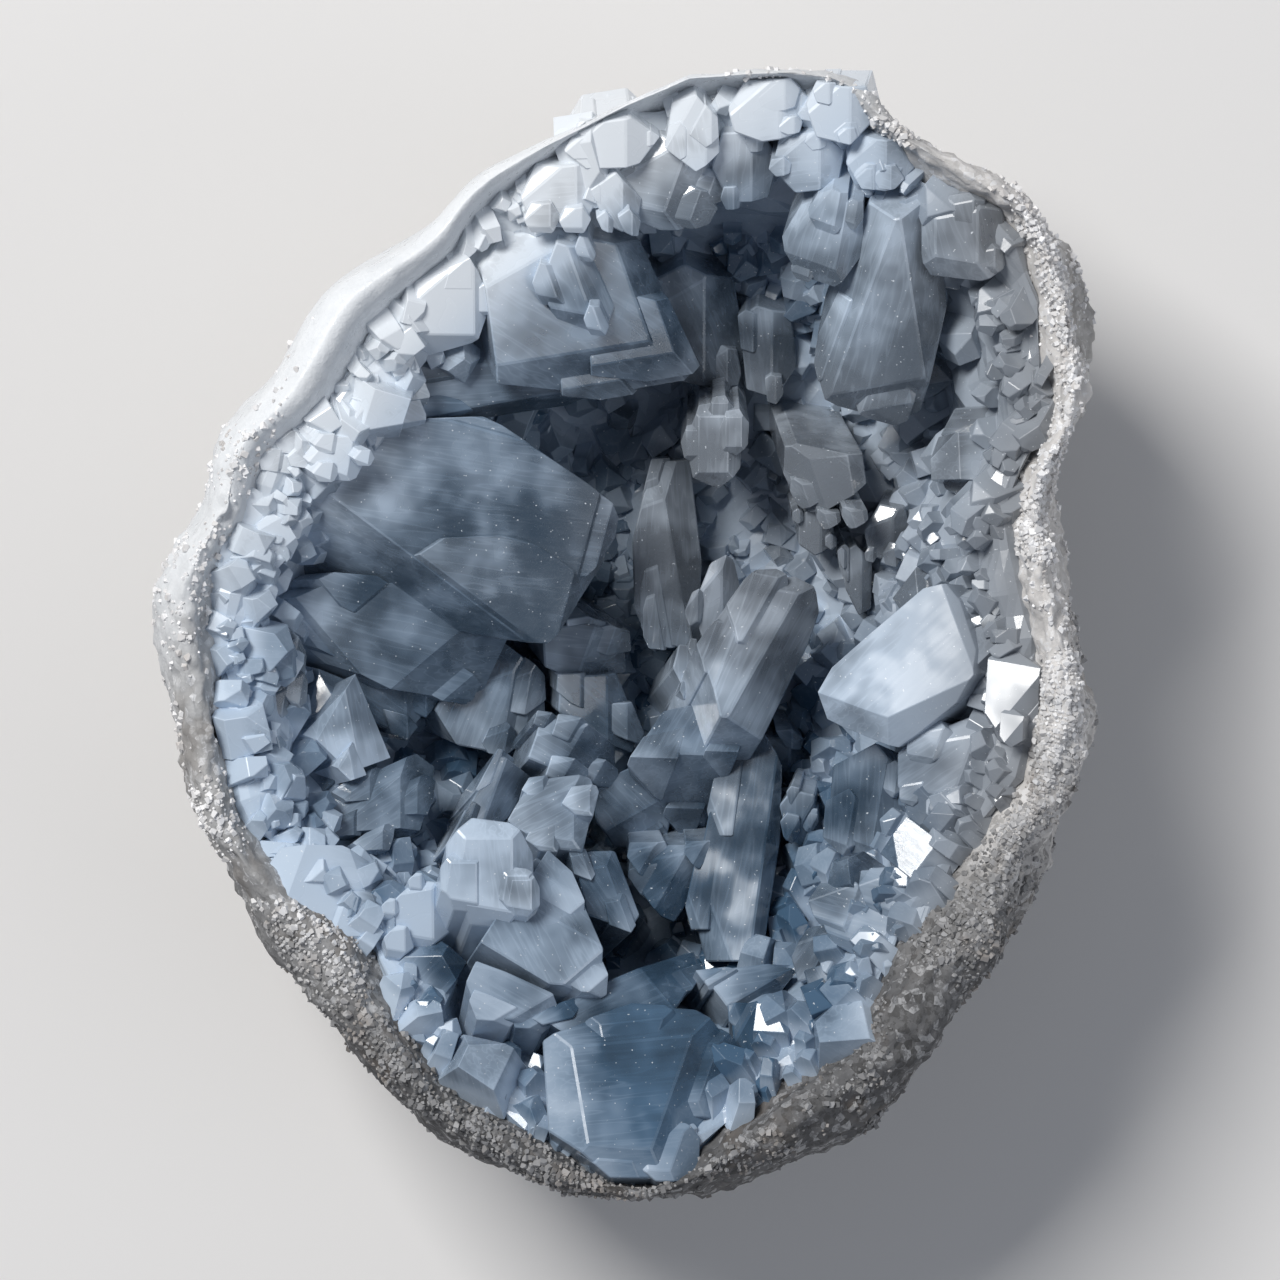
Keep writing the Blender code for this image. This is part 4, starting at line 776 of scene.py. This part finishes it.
        40, (160, 0.35), [(19.8, -32, -30, 1), (18.6, -30.6, 110, 0.7)]),
    "fang_b": (
        "clear", (28, -44, 24), [(17.9, -33.6), (20.4, -32.8), (22.4, -33.6), (22, -36),
        (20.6, -37.4), (18.6, -36)],
        42, (160, 0.35), [(20.6, -35, -30, 1)]),
    "milk_tooth": (
        "white", (36, -32, 26), [(29.4, -27.6), (30.4, -26.2), (33.2, -26.4), (33.6, -29.4),
        (32, -31.4), (30, -30.6)],
        45, (160, 0.3), [(32, -28.8, -20, 0.9)]),
    "great_tooth": (
        "clear", (32, 56, 22), [(24.4, 43.8), (29.8, 43.9), (32.3, 35.8), (32.4, 33.3),
        (31.2, 27.8), (29.9, 23), (27.4, 22), (21.4, 23.5), (19.6, 25.8), (19.2, 27.8),
        (19.4, 30.8), (20.2, 34.8)],
        43.5, (-92, 0.5), [(22.6, 30, 160, 1.1), (29.6, 30, 10, 1), (26, 25.6, -80, 0.9)]),
    "clear_cap": (
        "clear", (23, 54, 28), [(15.7, 40.4), (17.6, 43.6), (20.6, 44.5), (23.8, 43.8),
        (23.9, 38.8), (21, 35.4), (17.4, 36.6)],
        47, (-120, 0.25), [(21.6, 40, -10, 0.9), (18, 41.4, 140, 0.7), (19.4, 37.6, -110, 0.9)]),
    "silver_cap": (
        "clear", (42, 50, 30), [(29.8, 44), (34.4, 44.6), (37.8, 43), (37.9, 37), (35.6, 35.8),
        (30.6, 36.4), (29.6, 38.4)],
        48.5, (-120, 0.2), [(35.2, 40, 0, 0.8), (33, 42.4, 100, 0.7), (33, 38, -100, 0.9),
        (31, 40, 180, 0.7)]),
    "recess_egg": (
        "clear", (45, 32, 20), [(32.9, 30), (34.4, 33.8), (37.4, 34.4), (39.9, 31.6), (39.4, 28.4),
        (35.4, 28)],
        37, (-150, 0.3), [(37.6, 31, 0, 0.8), (35, 31.6, 140, 0.6)]),
    "gleam_flat": (
        "clear", (44, 24, 18), [(32, 20.6), (33.4, 23.4), (37, 23.6), (38.4, 21), (37.4, 19.4),
        (33.8, 19.2)],
        37.5, (-150, 0.3), [(35.6, 20.8, -90, 0.8)]),
    "right_gem": (
        "clear", (44, 16, 18), [(31.9, 17.8), (34.4, 19.8), (38, 18.4), (38.6, 15.4), (35.9, 13.7),
        (32.4, 15.2)],
        38, (-160, 0.3), [(36, 16.6, -20, 0.9), (34, 18, 120, 0.6)]),
    "arrow_gem": (
        "clear", (17, 28, 4), [(16.2, 19.6), (17.4, 19.9), (24.4, 18.9), (25.9, 17), (24.6, 15.8),
        (25.2, 11.4), (24.4, 10.9), (20.9, 11.4), (17.7, 13.8), (16.1, 16.8)],
        34.5, (-80, 0.3), [(19.8, 15.4, -160, 0.9), (23.2, 15, 10, 0.7), (20, 18.4, 95, 0.8)]),
    "round_bulb": (
        "clear", (9, 30, 6), [(6, 20), (7.4, 23.8), (10, 24.3), (11.9, 21.6), (11.7, 17.4),
        (9.4, 15.3), (6.8, 16.4)],
        34, (-90, 0.25), [(10.4, 20, 0, 0.9), (7.4, 20, 180, 0.8), (9, 17, -90, 0.9),
        (9, 22.6, 90, 0.7)]),
    "gem_behind": (
        "clear", (30, 18, 6), [(24.4, 11), (26, 13.8), (28.6, 13.4), (29.4, 10.4), (27.6, 7.8),
        (25, 8.4)],
        30.5, (-100, 0.3), [(27.4, 10.6, 0, 0.8), (26.4, 12, 110, 0.6)]),
    "splinter": (
        "clear", (22, 14, 4), [(22, 8.6), (23.6, 9.6), (25.4, 8), (25.3, 3), (24, 2.3), (22.6, 5)],
        28.5, (-80, 0.3), [(24.2, 6, 0, 0.9)]),
    "gem_low": (
        "clear", (18, 18, 4), [(17.7, 12.4), (19.4, 13.6), (21.3, 12.4), (21.4, 9.6), (19.4, 8.4),
        (17.7, 9.6)],
        31, (-90, 0.3), [(20, 11, 0, 0.9)]),
    "deep_face": (
        "dark", (6, 46, 8), [(1.4, 36), (6, 38.3), (11, 37), (12.4, 30), (11.4, 26.3), (5, 26.4),
        (2.4, 30)],
        31, (-60, 0.4), [(8, 30, 0, 0.6), (5, 35, 120, 0.4)]),
    "slate_facet": (
        "dark", (16, 42, 4), [(11.6, 33), (13.4, 34.2), (17, 33.6), (17.6, 28), (15.4, 24.8),
        (12.4, 25.6)],
        28, (-90, 0.3), [(15, 29, 0, 0.6)]),
    "top_tooth": (
        "pale", (6, 60, 32), [(3.9, 49), (4.6, 53.6), (7, 54.3), (9.2, 52), (9.4, 48.6), (7, 46.6)],
        50, (-110, 0.25), [(8, 50.6, 0, 0.8), (5.6, 51.6, 150, 0.7)]),
    "top_pale": (
        "pale", (15, 60, 30), [(10.2, 53), (12, 55.8), (16.4, 56), (18.4, 54), (17.4, 50.6),
        (13.6, 49.6), (10.8, 50.6)],
        50, (-100, 0.2), [(15.4, 53.4, 0, 0.7), (12.4, 54, 130, 0.7)]),
    "top_right_pale": (
        "white", (24, 59, 32), [(17.9, 53.4), (19, 55.6), (24, 55.2), (25, 52), (22.4, 49.2),
        (19, 50)],
        51, (-110, 0.2), [(22.4, 52.6, 0, 0.8), (20, 54, 130, 0.6)]),
    "glitter_a": (
        "grey", (19, 57, 30), [(14.6, 47), (15.4, 50.2), (19.4, 50.8), (22, 49), (21.4, 45.8),
        (17, 44.6)],
        48.5, (-100, 0.3), [(19.4, 48, 0, 0.8), (16.6, 49, 130, 0.6)]),
    "glitter_b": (
        "grey", (27, 56, 32), [(22, 47.6), (23, 50.6), (27, 50), (29, 47.2), (27, 45), (23.6, 45)],
        49, (-110, 0.3), [(26, 47.8, 0, 0.8), (24, 49, 130, 0.6)]),
    "teal_facet": (
        "dark", (12, 58, 24), [(8.6, 47.2), (9.6, 50.6), (13.4, 51), (15.4, 48.4), (14.4, 44.4),
        (10.4, 43.8)],
        46.5, (-70, 0.5), [(12.6, 47, 0, 0.7)]),
    "round_prism": (
        "clear", (3, 57, 28), [(-2.6, 46), (-1, 50), (3.4, 50.6), (7.6, 49), (9.9, 45.4), (8, 42),
        (3.4, 41), (-0.6, 42.6)],
        47.5, (-80, 0.25), [(5, 46, -20, 0.7), (1, 47, 120, 0.5), (3, 43, -100, 0.9)]),
    "grey_point": (
        "grey", (-3, 55, 30), [(-3.6, 44.8), (-1, 46.6), (1.6, 44), (1, 40.6), (-2, 41.4)],
        49, (-90, 0.3), [(-0.4, 43.4, 0, 0.9)]),
    "pale_rim_left": (
        "pale", (-8, 54, 32), [(-10.6, 44), (-9, 47.4), (-4.6, 47.4), (-2.6, 44.4), (-4.6, 41),
        (-9, 41.2)],
        50, (-70, 0.25), [(-5, 44.4, 0, 0.7), (-8.4, 45.4, 130, 0.6), (-7, 42.4, -90, 0.8)]),
    "white_rim_left": (
        "white", (-2, 59, 32), [(-6.2, 48.6), (-4.6, 51.6), (0.4, 52), (3.4, 50.2), (1.4, 47.4),
        (-4, 46.8)],
        51, (-80, 0.2), [(0, 49.6, 0, 0.7), (-3.6, 50.4, 130, 0.6)]),
}
# Tone: how milky a crystal is, and how pale its milk is
# The dark tone is painted shade: a darker milk for crystals that lie in shadow, deep in the hollow or
# under an overhang.
TONES = {
    "blue": (0.55, 0.30), "pale": (0.68, 0.62), "clear": (0.34, 0.62),
    "white": (0.92, 0.95), "grey": (0.52, 0.45), "dark": (0.45, 0.20),
}
WHOLE = ("arrowhead",)
# Druse: count, place down the wall, half width and length in millimetres
STUBBY_DRUSE = [
    (36, (0.51, 0.68), (2.0, 3.8), (2.5, 6.0)),
    (12, (0.66, 0.97), (1.1, 2.6), (2.2, 5.0)),
]
FINE_DRUSE = [
    (640, (0.474, 0.56), (0.7, 1.9), (1.6, 3.4)),
    (420, (0.54, 0.72), (0.9, 2.3), (1.6, 4.6)),
    (1150, (0.66, 0.995), (0.9, 2.4), (1.6, 4.4)),
]


def lining_profile(turn):
    """A bowl that bites into the hollow's wall and stands a little way out of it."""
    reach, width, height = girth(turn)
    lip = reach - width
    rows = [(share * (lip + LINING_BITE), up * height - LINING_BITE) for share, up in HOLLOW[::-1]]
    rows += [(lip - LINING_LIP[0], LINING_LIP[1] * height)]
    rows += [(np.maximum(share * lip - LINING_DEPTH, 0.0), up * height + LINING_DEPTH * (1.0 - share))
             for share, up in HOLLOW]
    return np.array(rows).transpose(0, 2, 1)


def cleave(bm, point, normal):
    """Cut away what lies beyond a plane, and close the cut with one flat face."""
    point = Vector(point)
    normal = Vector(normal).normalized()
    if max((normal.dot(vert.co - point) for vert in bm.verts), default=0.0) < 1e-3:
        return
    everything = bm.verts[:] + bm.edges[:] + bm.faces[:]
    cut = bmesh.ops.bisect_plane(
        bm, geom=everything, dist=1e-4, plane_co=point, plane_no=normal, clear_outer=True)
    edges = [part for part in cut["geom_cut"] if isinstance(part, bmesh.types.BMEdge)]
    bmesh.ops.contextual_create(bm, geom=edges)


def big_crystal(root, outline, height, fall, bevels):
    """A block cleaved by its front face, its bevels, its sides and its root.

    With it come the near end of its front, on the root's side, and the front's long axis.
    """
    middle = sum((Vector(point) for point in outline), Vector((0.0, 0.0))) / len(outline)
    slope = -fall[1] * Vector((math.cos(math.radians(fall[0])), math.sin(math.radians(fall[0]))))
    faces = [(height, middle, slope)]
    for x, y, angle, steeper in bevels:
        start = Vector((x, y))
        away = Vector((math.cos(math.radians(angle)), math.sin(math.radians(angle))))
        faces.append((height + slope.dot(start - middle), start, slope - steeper * away))

    def front(point):
        return min(level + tilt.dot(point - start) for level, start, tilt in faces)

    root = Vector(root)
    tip = Vector((*middle, height))
    apex = root + (root - tip) * ROOT_WIDTH / (1.0 - ROOT_WIDTH)
    bm = bmesh.new()
    bmesh.ops.create_cube(bm, size=BLOCK_SIZE)
    bmesh.ops.translate(bm, vec=tip, verts=bm.verts)
    for level, start, tilt in faces:
        cleave(bm, (*start, level), (-tilt.x, -tilt.y, 1.0))
    inside = tip + (apex - tip) * 0.01
    corners = [Vector((*point, front(Vector(point)))) for point in outline]
    for first, second in zip(corners, corners[1:] + corners[:1]):
        normal = (second - first).cross(apex - first)
        if normal.dot(inside - first) > 0.0:
            normal.negate()
        cleave(bm, first, normal)
    cleave(bm, root, root - tip)
    spread = np.array(outline) - middle
    along = Vector(np.linalg.svd(spread)[2][0])
    if along.dot(middle - root.xy) < 0.0:
        along.negate()
    reach = [along.dot(Vector(point) - middle) for point in outline]
    start, end = (middle + along * far for far in (min(reach), max(reach)))
    start, end = (Vector((*point, height + slope.dot(point - middle))) for point in (start, end))
    return bm, start, end - start


def small_crystal(rng, base, direction, half_width, length):
    """A stubby crystal of druse: a block on its root, cleaved into a chisel point."""
    direction = direction.normalized()
    side = direction.cross(Vector((rng.uniform(-1, 1), rng.uniform(-1, 1), rng.uniform(-1, 1))))
    side.normalize()
    other = direction.cross(side)
    tip = base + direction * length
    bm = bmesh.new()
    bmesh.ops.create_cube(bm, size=STUB_SIZE)
    bmesh.ops.translate(bm, vec=base, verts=bm.verts)
    slim = half_width * rng.uniform(0.55, 0.9)
    for across, reach in ((side, half_width), (-side, half_width), (other, slim), (-other, slim)):
        lean = direction * rng.uniform(0.0, 0.15)
        cleave(bm, base + across * reach, across + lean)
    for across in (side, -side, other):
        cleave(bm, tip, direction + across * rng.uniform(0.45, 1.2))
    cleave(bm, base - direction * STUB_ROOT, -direction)
    return bm, base, direction * length


def druse_place(rng, low, high):
    """A point on the lining, and the way a crystal grows there: inwards and up."""
    angle = rng.uniform(-math.pi, math.pi)
    line = smooth_curve(lining_profile(np.array([angle])), 6)[:, 0]
    length = np.concatenate([[0.0], np.cumsum(np.hypot(*np.diff(line, axis=0).T))])
    where = rng.uniform(low, high) * length[-1]
    distance = float(np.interp(where, length, line[:, 0]))
    height = float(np.interp(where, length, line[:, 1]))
    base = Vector((distance * math.cos(angle), distance * math.sin(angle), height))
    inward = Vector((-math.cos(angle), -math.sin(angle), 0.0))
    steep = min(1.0, distance / LEVEL_FLOOR)
    lean = Vector((rng.uniform(-0.5, 0.5), rng.uniform(-0.5, 0.5), rng.uniform(-0.2, 0.5)))
    return base, inward * steep + Vector((0.0, 0.0, 1.15 - 0.5 * steep)) + lean


def druse():
    """The row of stubby crystals below the lip, those of the floor, and fine ones between."""
    rng = random.Random(DRUSE_SEED)
    for count, down, widths, lengths in STUBBY_DRUSE:
        for number in range(count):
            base, direction = druse_place(rng, *down)
            half_width = rng.uniform(*widths)
            yield small_crystal(rng, base, direction, half_width, rng.uniform(*lengths))
    for count, down, widths, lengths in FINE_DRUSE:
        for number in range(count):
            base, direction = druse_place(rng, *down)
            size = rng.random() ** 2
            half_width = widths[0] + (widths[1] - widths[0]) * size
            length = lengths[0] + (lengths[1] - lengths[0]) * size * rng.uniform(0.6, 1.0)
            yield small_crystal(rng, base, direction, half_width, length)


def parallel_growth(rng, shape, outline):
    """A smaller copy of a crystal on one of its corners, that stands a little proud of it."""
    bm, root, axis = shape
    copy = bm.copy()
    corner = Vector(rng.choice(outline)).to_3d()
    tops = [vert.co for vert in bm.verts if (vert.co.xy - corner.xy).length < CORNER_REACH]
    corner.z = max((top.z for top in tops), default=root.z)
    scale = rng.uniform(*GROWTH_SCALE)
    out = (corner - root - axis * 0.5).normalized() * rng.uniform(0.2, 0.9)
    out.z = rng.uniform(0.1, 0.8)
    reach = girth(np.array([math.atan2(corner.y, corner.x)]))[0][0]
    if corner.xy.length > NEAR_RIM * reach:
        out = Vector((0.0, 0.0, 0.3 * out.z))
    for vert in copy.verts:
        vert.co = corner + (vert.co - corner) * scale + out
    return copy, corner + (root - corner) * scale + out, axis * scale


def add_blank(collection, shape, bevel, milk, tint, cloudy):
    """Bevel a crystal, write its milk, tint, edges, root and grain on its faces, and keep it."""
    bm, root, axis = shape
    edges = bm.faces.layers.float.new("edge")
    milks = bm.faces.layers.float.new("milk")
    tints = bm.faces.layers.float.new("tint")
    clouds = bm.faces.layers.float.new("cloudy")
    roots = bm.faces.layers.float_vector.new("root")
    grains_of = bm.faces.layers.float_vector.new("grain")
    worn = bmesh.ops.bevel(
        bm, geom=bm.edges[:], offset=bevel, segments=1, affect="EDGES", clamp_overlap=True)
    for face in bm.faces:
        face[milks] = milk
        face[tints] = tint
        face[clouds] = cloudy
        face[roots] = root - Vector(MIDDLE)
        face[grains_of] = axis / axis.length_squared
    for face in worn["faces"]:
        face[edges] = 1.0
    bmesh.ops.triangulate(bm, faces=bm.faces)
    bmesh.ops.recalc_face_normals(bm, faces=bm.faces)
    mesh = bpy.data.meshes.new("blank")
    bm.to_mesh(mesh)
    bm.free()
    collection.objects.link(bpy.data.objects.new("blank", mesh))


def fused(piece, operation, tool):
    """A piece's mesh after a Boolean with an object or a collection, which is then removed."""
    cut = piece.modifiers.new(operation, "BOOLEAN")
    cut.solver = "MANIFOLD"
    cut.operation = operation
    if isinstance(tool, bpy.types.Collection):
        cut.operand_type = "COLLECTION"
        cut.collection = tool
        tools = list(tool.objects)
    else:
        cut.object = tool
        tools = [tool]
    mesh = bpy.data.meshes.new_from_object(piece.evaluated_get(bpy.context.evaluated_depsgraph_get()))
    piece.modifiers.clear()
    piece.data = mesh
    for used in tools:
        bpy.data.objects.remove(used)


def add_solid(name, points):
    """A plain object of a grid, for the Booleans."""
    mesh = grid_mesh(name, points)
    bm = bmesh.new()
    bm.from_mesh(mesh)
    bmesh.ops.triangulate(bm, faces=bm.faces)
    bm.to_mesh(mesh)
    bm.free()
    solid = bpy.data.objects.new(name, mesh)
    bpy.context.scene.collection.objects.link(solid)
    return solid


def lining_grid():
    """The lining's rings, turned round the outline, with lumps along the normal."""
    turn = np.linspace(-np.pi, np.pi, LINING_AROUND, endpoint=False)
    profile = smooth_curve(lining_profile(turn), LINING_STEPS)
    distance, height = profile[..., 0], profile[..., 1]
    points = np.stack([distance * np.cos(turn), distance * np.sin(turn), height], axis=-1)
    relief = 1.5 * lumps(points, 5.0, 21) + 0.8 * lumps(points, 2.6, 4)
    points = points + grid_normals(points) * relief[..., None]
    points[0] = points[0].mean(axis=0)
    points[-1] = points[-1].mean(axis=0)
    return points


def wall_grid():
    """What the crust is cut by: the hollow's wall, with the stone's outside pushed away."""
    points, _, share = rind_grid(WALL_AROUND, WALL_STEPS, 2, -CRUST_BITE, False)
    away = 1.0 - blend(share, 0.44, 0.50)
    points[..., :2] *= 1.0 + 0.5 * away[..., None]
    points[..., 2] += 15.0 * away - 50.0 * (1.0 - blend(share, 0.30, 0.40))
    return points


def largest_island(mesh):
    """Keep only the biggest connected part of a mesh."""
    bm = bmesh.new()
    bm.from_mesh(mesh)
    left = set(bm.verts)
    islands = []
    while left:
        island = set()
        edge = [left.pop()]
        while edge:
            vert = edge.pop()
            island.add(vert)
            for link in vert.link_edges:
                other = link.other_vert(vert)
                if other in left:
                    left.discard(other)
                    edge.append(other)
        islands.append(island)
    keep = max(islands, key=len)
    bmesh.ops.delete(bm, geom=[vert for vert in bm.verts if vert not in keep], context="VERTS")
    bm.to_mesh(mesh)
    bm.free()


def crystal_finish():
    """Celestite: clear grey-blue crystal, veiled with milk, grained along its length.

    Painted shade darkens it towards the bottom, and painted light pales the deep middle pocket.
    """
    gem = Finish("celestite")
    edge = gem.attribute("edge")
    milk = gem.attribute("milk")
    tint = gem.attribute("tint")
    rim = gem.attribute("rim")
    root = gem.attribute("root", 1)
    grain = gem.attribute("grain", 1)
    offset = gem.vector("SUBTRACT", gem.place, root)
    along = gem.vector("DOT_PRODUCT", offset, grain, output=1)
    axis = gem.vector("NORMALIZE", grain)
    length = gem.vector("DOT_PRODUCT", gem.place, axis, output=1)
    drawn = gem.vector("SUBTRACT", gem.place, gem.scaled(axis, length * 0.9))
    cloudy = gem.attribute("cloudy")
    streak = gem.noise(0.8, 1.0, 0.6, place=drawn)
    wisp = (1.0 - (streak - 0.5).size() * 16.0).greater(0.0)
    veil = gem.noise(6.0, 2.0, 0.55, shift=5.0)
    # White specks: real dust, and partly painted glints.
    dust_and_glints = gem.noise(0.25, 0.0, 0.5, shift=33.0).step(0.80, 0.85)
    cloud = (veil - 0.5) * 1.5 + (streak - 0.5) * 0.2 + wisp * 0.08
    root_end = (1.0 - along).step(0.35, 1.1)
    body = milk + cloud + rim * 0.45 + root_end * 0.25 + edge * 0.12
    body = body.greater(0.40).lesser(1.0)
    # Painted shade: the milk's colour darkens towards the bottom of the stone.
    low = (gem.y * -1.0 + gem.x * 0.3).step(12.0, 50.0)
    # Painted light: the deep pocket in the middle is made paler and greyer.
    painted_pocket_light = gem.vector("DISTANCE", gem.place, (13.0, 13.0, 32.0), output=1).step(25.0, 9.0)
    frost = tint + painted_pocket_light * 0.35 + rim * 0.42 + root_end * 0.55 + (veil - 0.5) * 0.8
    frost = frost + wisp * 0.06 - low * 0.6 - 0.08
    colour = frost.greater(0.0).lesser(1.0).mix((0.066, 0.128, 0.208), (0.50, 0.60, 0.72))
    right = gem.x.step(20.0, 38.0)
    colour = (right * (0.4 + rim * 0.45)).mix(colour, (0.24, 0.245, 0.255))
    colour = (painted_pocket_light * 0.40).mix(colour, (0.42, 0.42, 0.43))
    upper_left = (gem.y - gem.x * 0.8).step(24.0, 54.0)
    colour = (upper_left * rim.step(0.1, 0.8)).mix(colour, (0.74, 0.78, 0.82))
    colour = (dust_and_glints * 0.7).mix(colour, (0.80, 0.84, 0.88))
    rough = 0.05 + veil.step(0.45, 0.75) * 0.25 + edge * 0.10 + rim * 0.10
    normal = gem.bump(streak, 0.08, 0.0001)
    clear = gem.shader({"Base Color": (0.90, 0.95, 1.0), "Roughness": rough, "Normal": normal,
                        "Transmission Weight": 1.0, "IOR": CELESTITE_IOR})
    milky = gem.shader({"Base Color": colour, "Roughness": rough + 0.05, "Normal": normal,
                        "IOR": CELESTITE_IOR})
    share = body.greater(dust_and_glints).greater(cloudy)
    mixed = gem.node("ShaderNodeMixShader", {}, {0: share, 1: clear, 2: milky})
    absorb = gem.node("ShaderNodeVolumeAbsorption", {},
                      {"Color": (0.50, 0.70, 0.86), "Density": 35.0})
    return gem.surface(mixed, absorb)


def write_rim(mesh):
    """Keep on every vertex how near it is to the rim: nought in the hollow, one at the lip."""
    places = np.zeros(len(mesh.vertices) * 3)
    mesh.vertices.foreach_get("co", places)
    places = places.reshape(-1, 3)
    reach, width, height = girth(np.arctan2(places[:, 1], places[:, 0]))
    out = np.hypot(places[:, 0], places[:, 1]) / (reach - width)
    near = blend(out, 0.62, 1.05) * blend(places[:, 2] / height, 0.40, 0.95)
    mesh.attributes.new("rim", "FLOAT", "POINT").data.foreach_set("value", near)


crystals = bpy.data.collections.new("crystals")
bpy.context.scene.collection.children.link(crystals)
shades = random.Random(SHADE_SEED)
for name, (tone, root, front_outline, *rest) in CRYSTALS.items():
    milk, tint = TONES[tone]
    shape = big_crystal(root, front_outline, *rest)
    for number in range(0 if name in WHOLE else shades.choice((2, 3, 3, 4))):
        growth = parallel_growth(shades, shape, front_outline)
        add_blank(crystals, growth, GROWTH_BEVEL, milk + shades.uniform(*GROWTH_MILK),
                  tint + shades.uniform(*GROWTH_TINT), 0.0)
    add_blank(crystals, shape, CRYSTAL_BEVEL, milk, tint, 0.0)
stubby = sum(row[0] for row in STUBBY_DRUSE)
for number, shape in enumerate(druse()):
    fine = 1.0 if number >= stubby else 0.5
    add_blank(crystals, shape, DRUSE_BEVEL, shades.uniform(*DRUSE_MILK),
              shades.uniform(*DRUSE_TINT), fine)
crust = add_solid("crust", lining_grid())
for name, value in (("cloudy", 1.0), ("tint", LINING_TINT)):
    layer = crust.data.attributes.new(name, "FLOAT", "FACE")
    layer.data.foreach_set("value", np.full(len(crust.data.polygons), value))
fused(crust, "UNION", crystals)
fused(crust, "DIFFERENCE", add_solid("wall", wall_grid()))
largest_island(crust.data)
bpy.data.collections.remove(crystals)
crust_mesh = crust.data
crust_mesh.materials.clear()
bpy.data.objects.remove(crust)
write_rim(crust_mesh)
skin = add_piece("crystal_skin", crust_mesh, crystal_finish())
keep_inside(skin.data)
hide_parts("crystal_crust")

# Floor, lights and camera: a plain pale floor under the stone, a soft key light from the upper
# left, a weak fill from the right, and a long lens that looks straight down into the hollow.
RIM_HEIGHT = 0.050
STAND_OFF = 0.70
FRAME_WIDTH = 0.128
PHOTO_MIDDLE = 640
AXIS_PIXEL = (626, 638)
PIXELS_PER_MM = 10.0
FLOOR_REACH = 2.0

floor_mesh = bpy.data.meshes.new("floor")
floor_mesh.from_pydata(
    [(x * FLOOR_REACH, y * FLOOR_REACH, 0.0) for x, y in ((-1, -1), (1, -1), (1, 1), (-1, 1))],
    [], [(0, 1, 2, 3)])
floor = bpy.data.objects.new("floor", floor_mesh)
bpy.context.scene.collection.objects.link(floor)
paper = Finish("pale_paper")
floor_mesh.materials.append(paper.surface(paper.shader(
    {"Base Color": (0.74, 0.73, 0.72), "Roughness": 0.8})))


def add_light(name, place, size, power, colour):
    """A square area light that faces the rim of the stone."""
    lamp = bpy.data.lights.new(name, "AREA")
    lamp.size = size
    lamp.energy = power
    lamp.color = colour
    light = bpy.data.objects.new(name, lamp)
    light.location = place
    aim = Vector((0.0, 0.0, RIM_HEIGHT)) - Vector(place)
    light.rotation_euler = aim.to_track_quat("-Z", "Y").to_euler()
    bpy.context.scene.collection.objects.link(light)


add_light("key", (-0.44, 0.48, 0.94), 0.40, 12.0, (1.0, 0.985, 0.96))
add_light("fill", (0.9, -0.3, 0.7), 0.7, 2.2, (0.93, 0.96, 1.0))
world = bpy.data.worlds.new("soft_room")
world.use_nodes = True
world.node_tree.nodes["Background"].inputs["Color"].default_value = (0.80, 0.86, 1.0, 1.0)
world.node_tree.nodes["Background"].inputs["Strength"].default_value = 0.23
bpy.context.scene.world = world

camera_data = bpy.data.cameras.new("camera")
camera_data.lens = camera_data.sensor_width * STAND_OFF / FRAME_WIDTH
camera_data.clip_start = 0.01
camera = bpy.data.objects.new("camera", camera_data)
camera.location = (
    (PHOTO_MIDDLE - AXIS_PIXEL[0]) / PIXELS_PER_MM * MM - MIDDLE[0] * MM,
    (AXIS_PIXEL[1] - PHOTO_MIDDLE) / PIXELS_PER_MM * MM - MIDDLE[1] * MM,
    RIM_HEIGHT + STAND_OFF)
bpy.context.scene.collection.objects.link(camera)
bpy.context.scene.camera = camera
bpy.context.scene.view_settings.view_transform = "Standard"
bpy.context.scene.view_settings.look = "None"
bpy.context.scene.cycles.caustics_refractive = False
bpy.context.scene.cycles.caustics_reflective = False
bpy.context.scene.cycles.max_bounces = 5
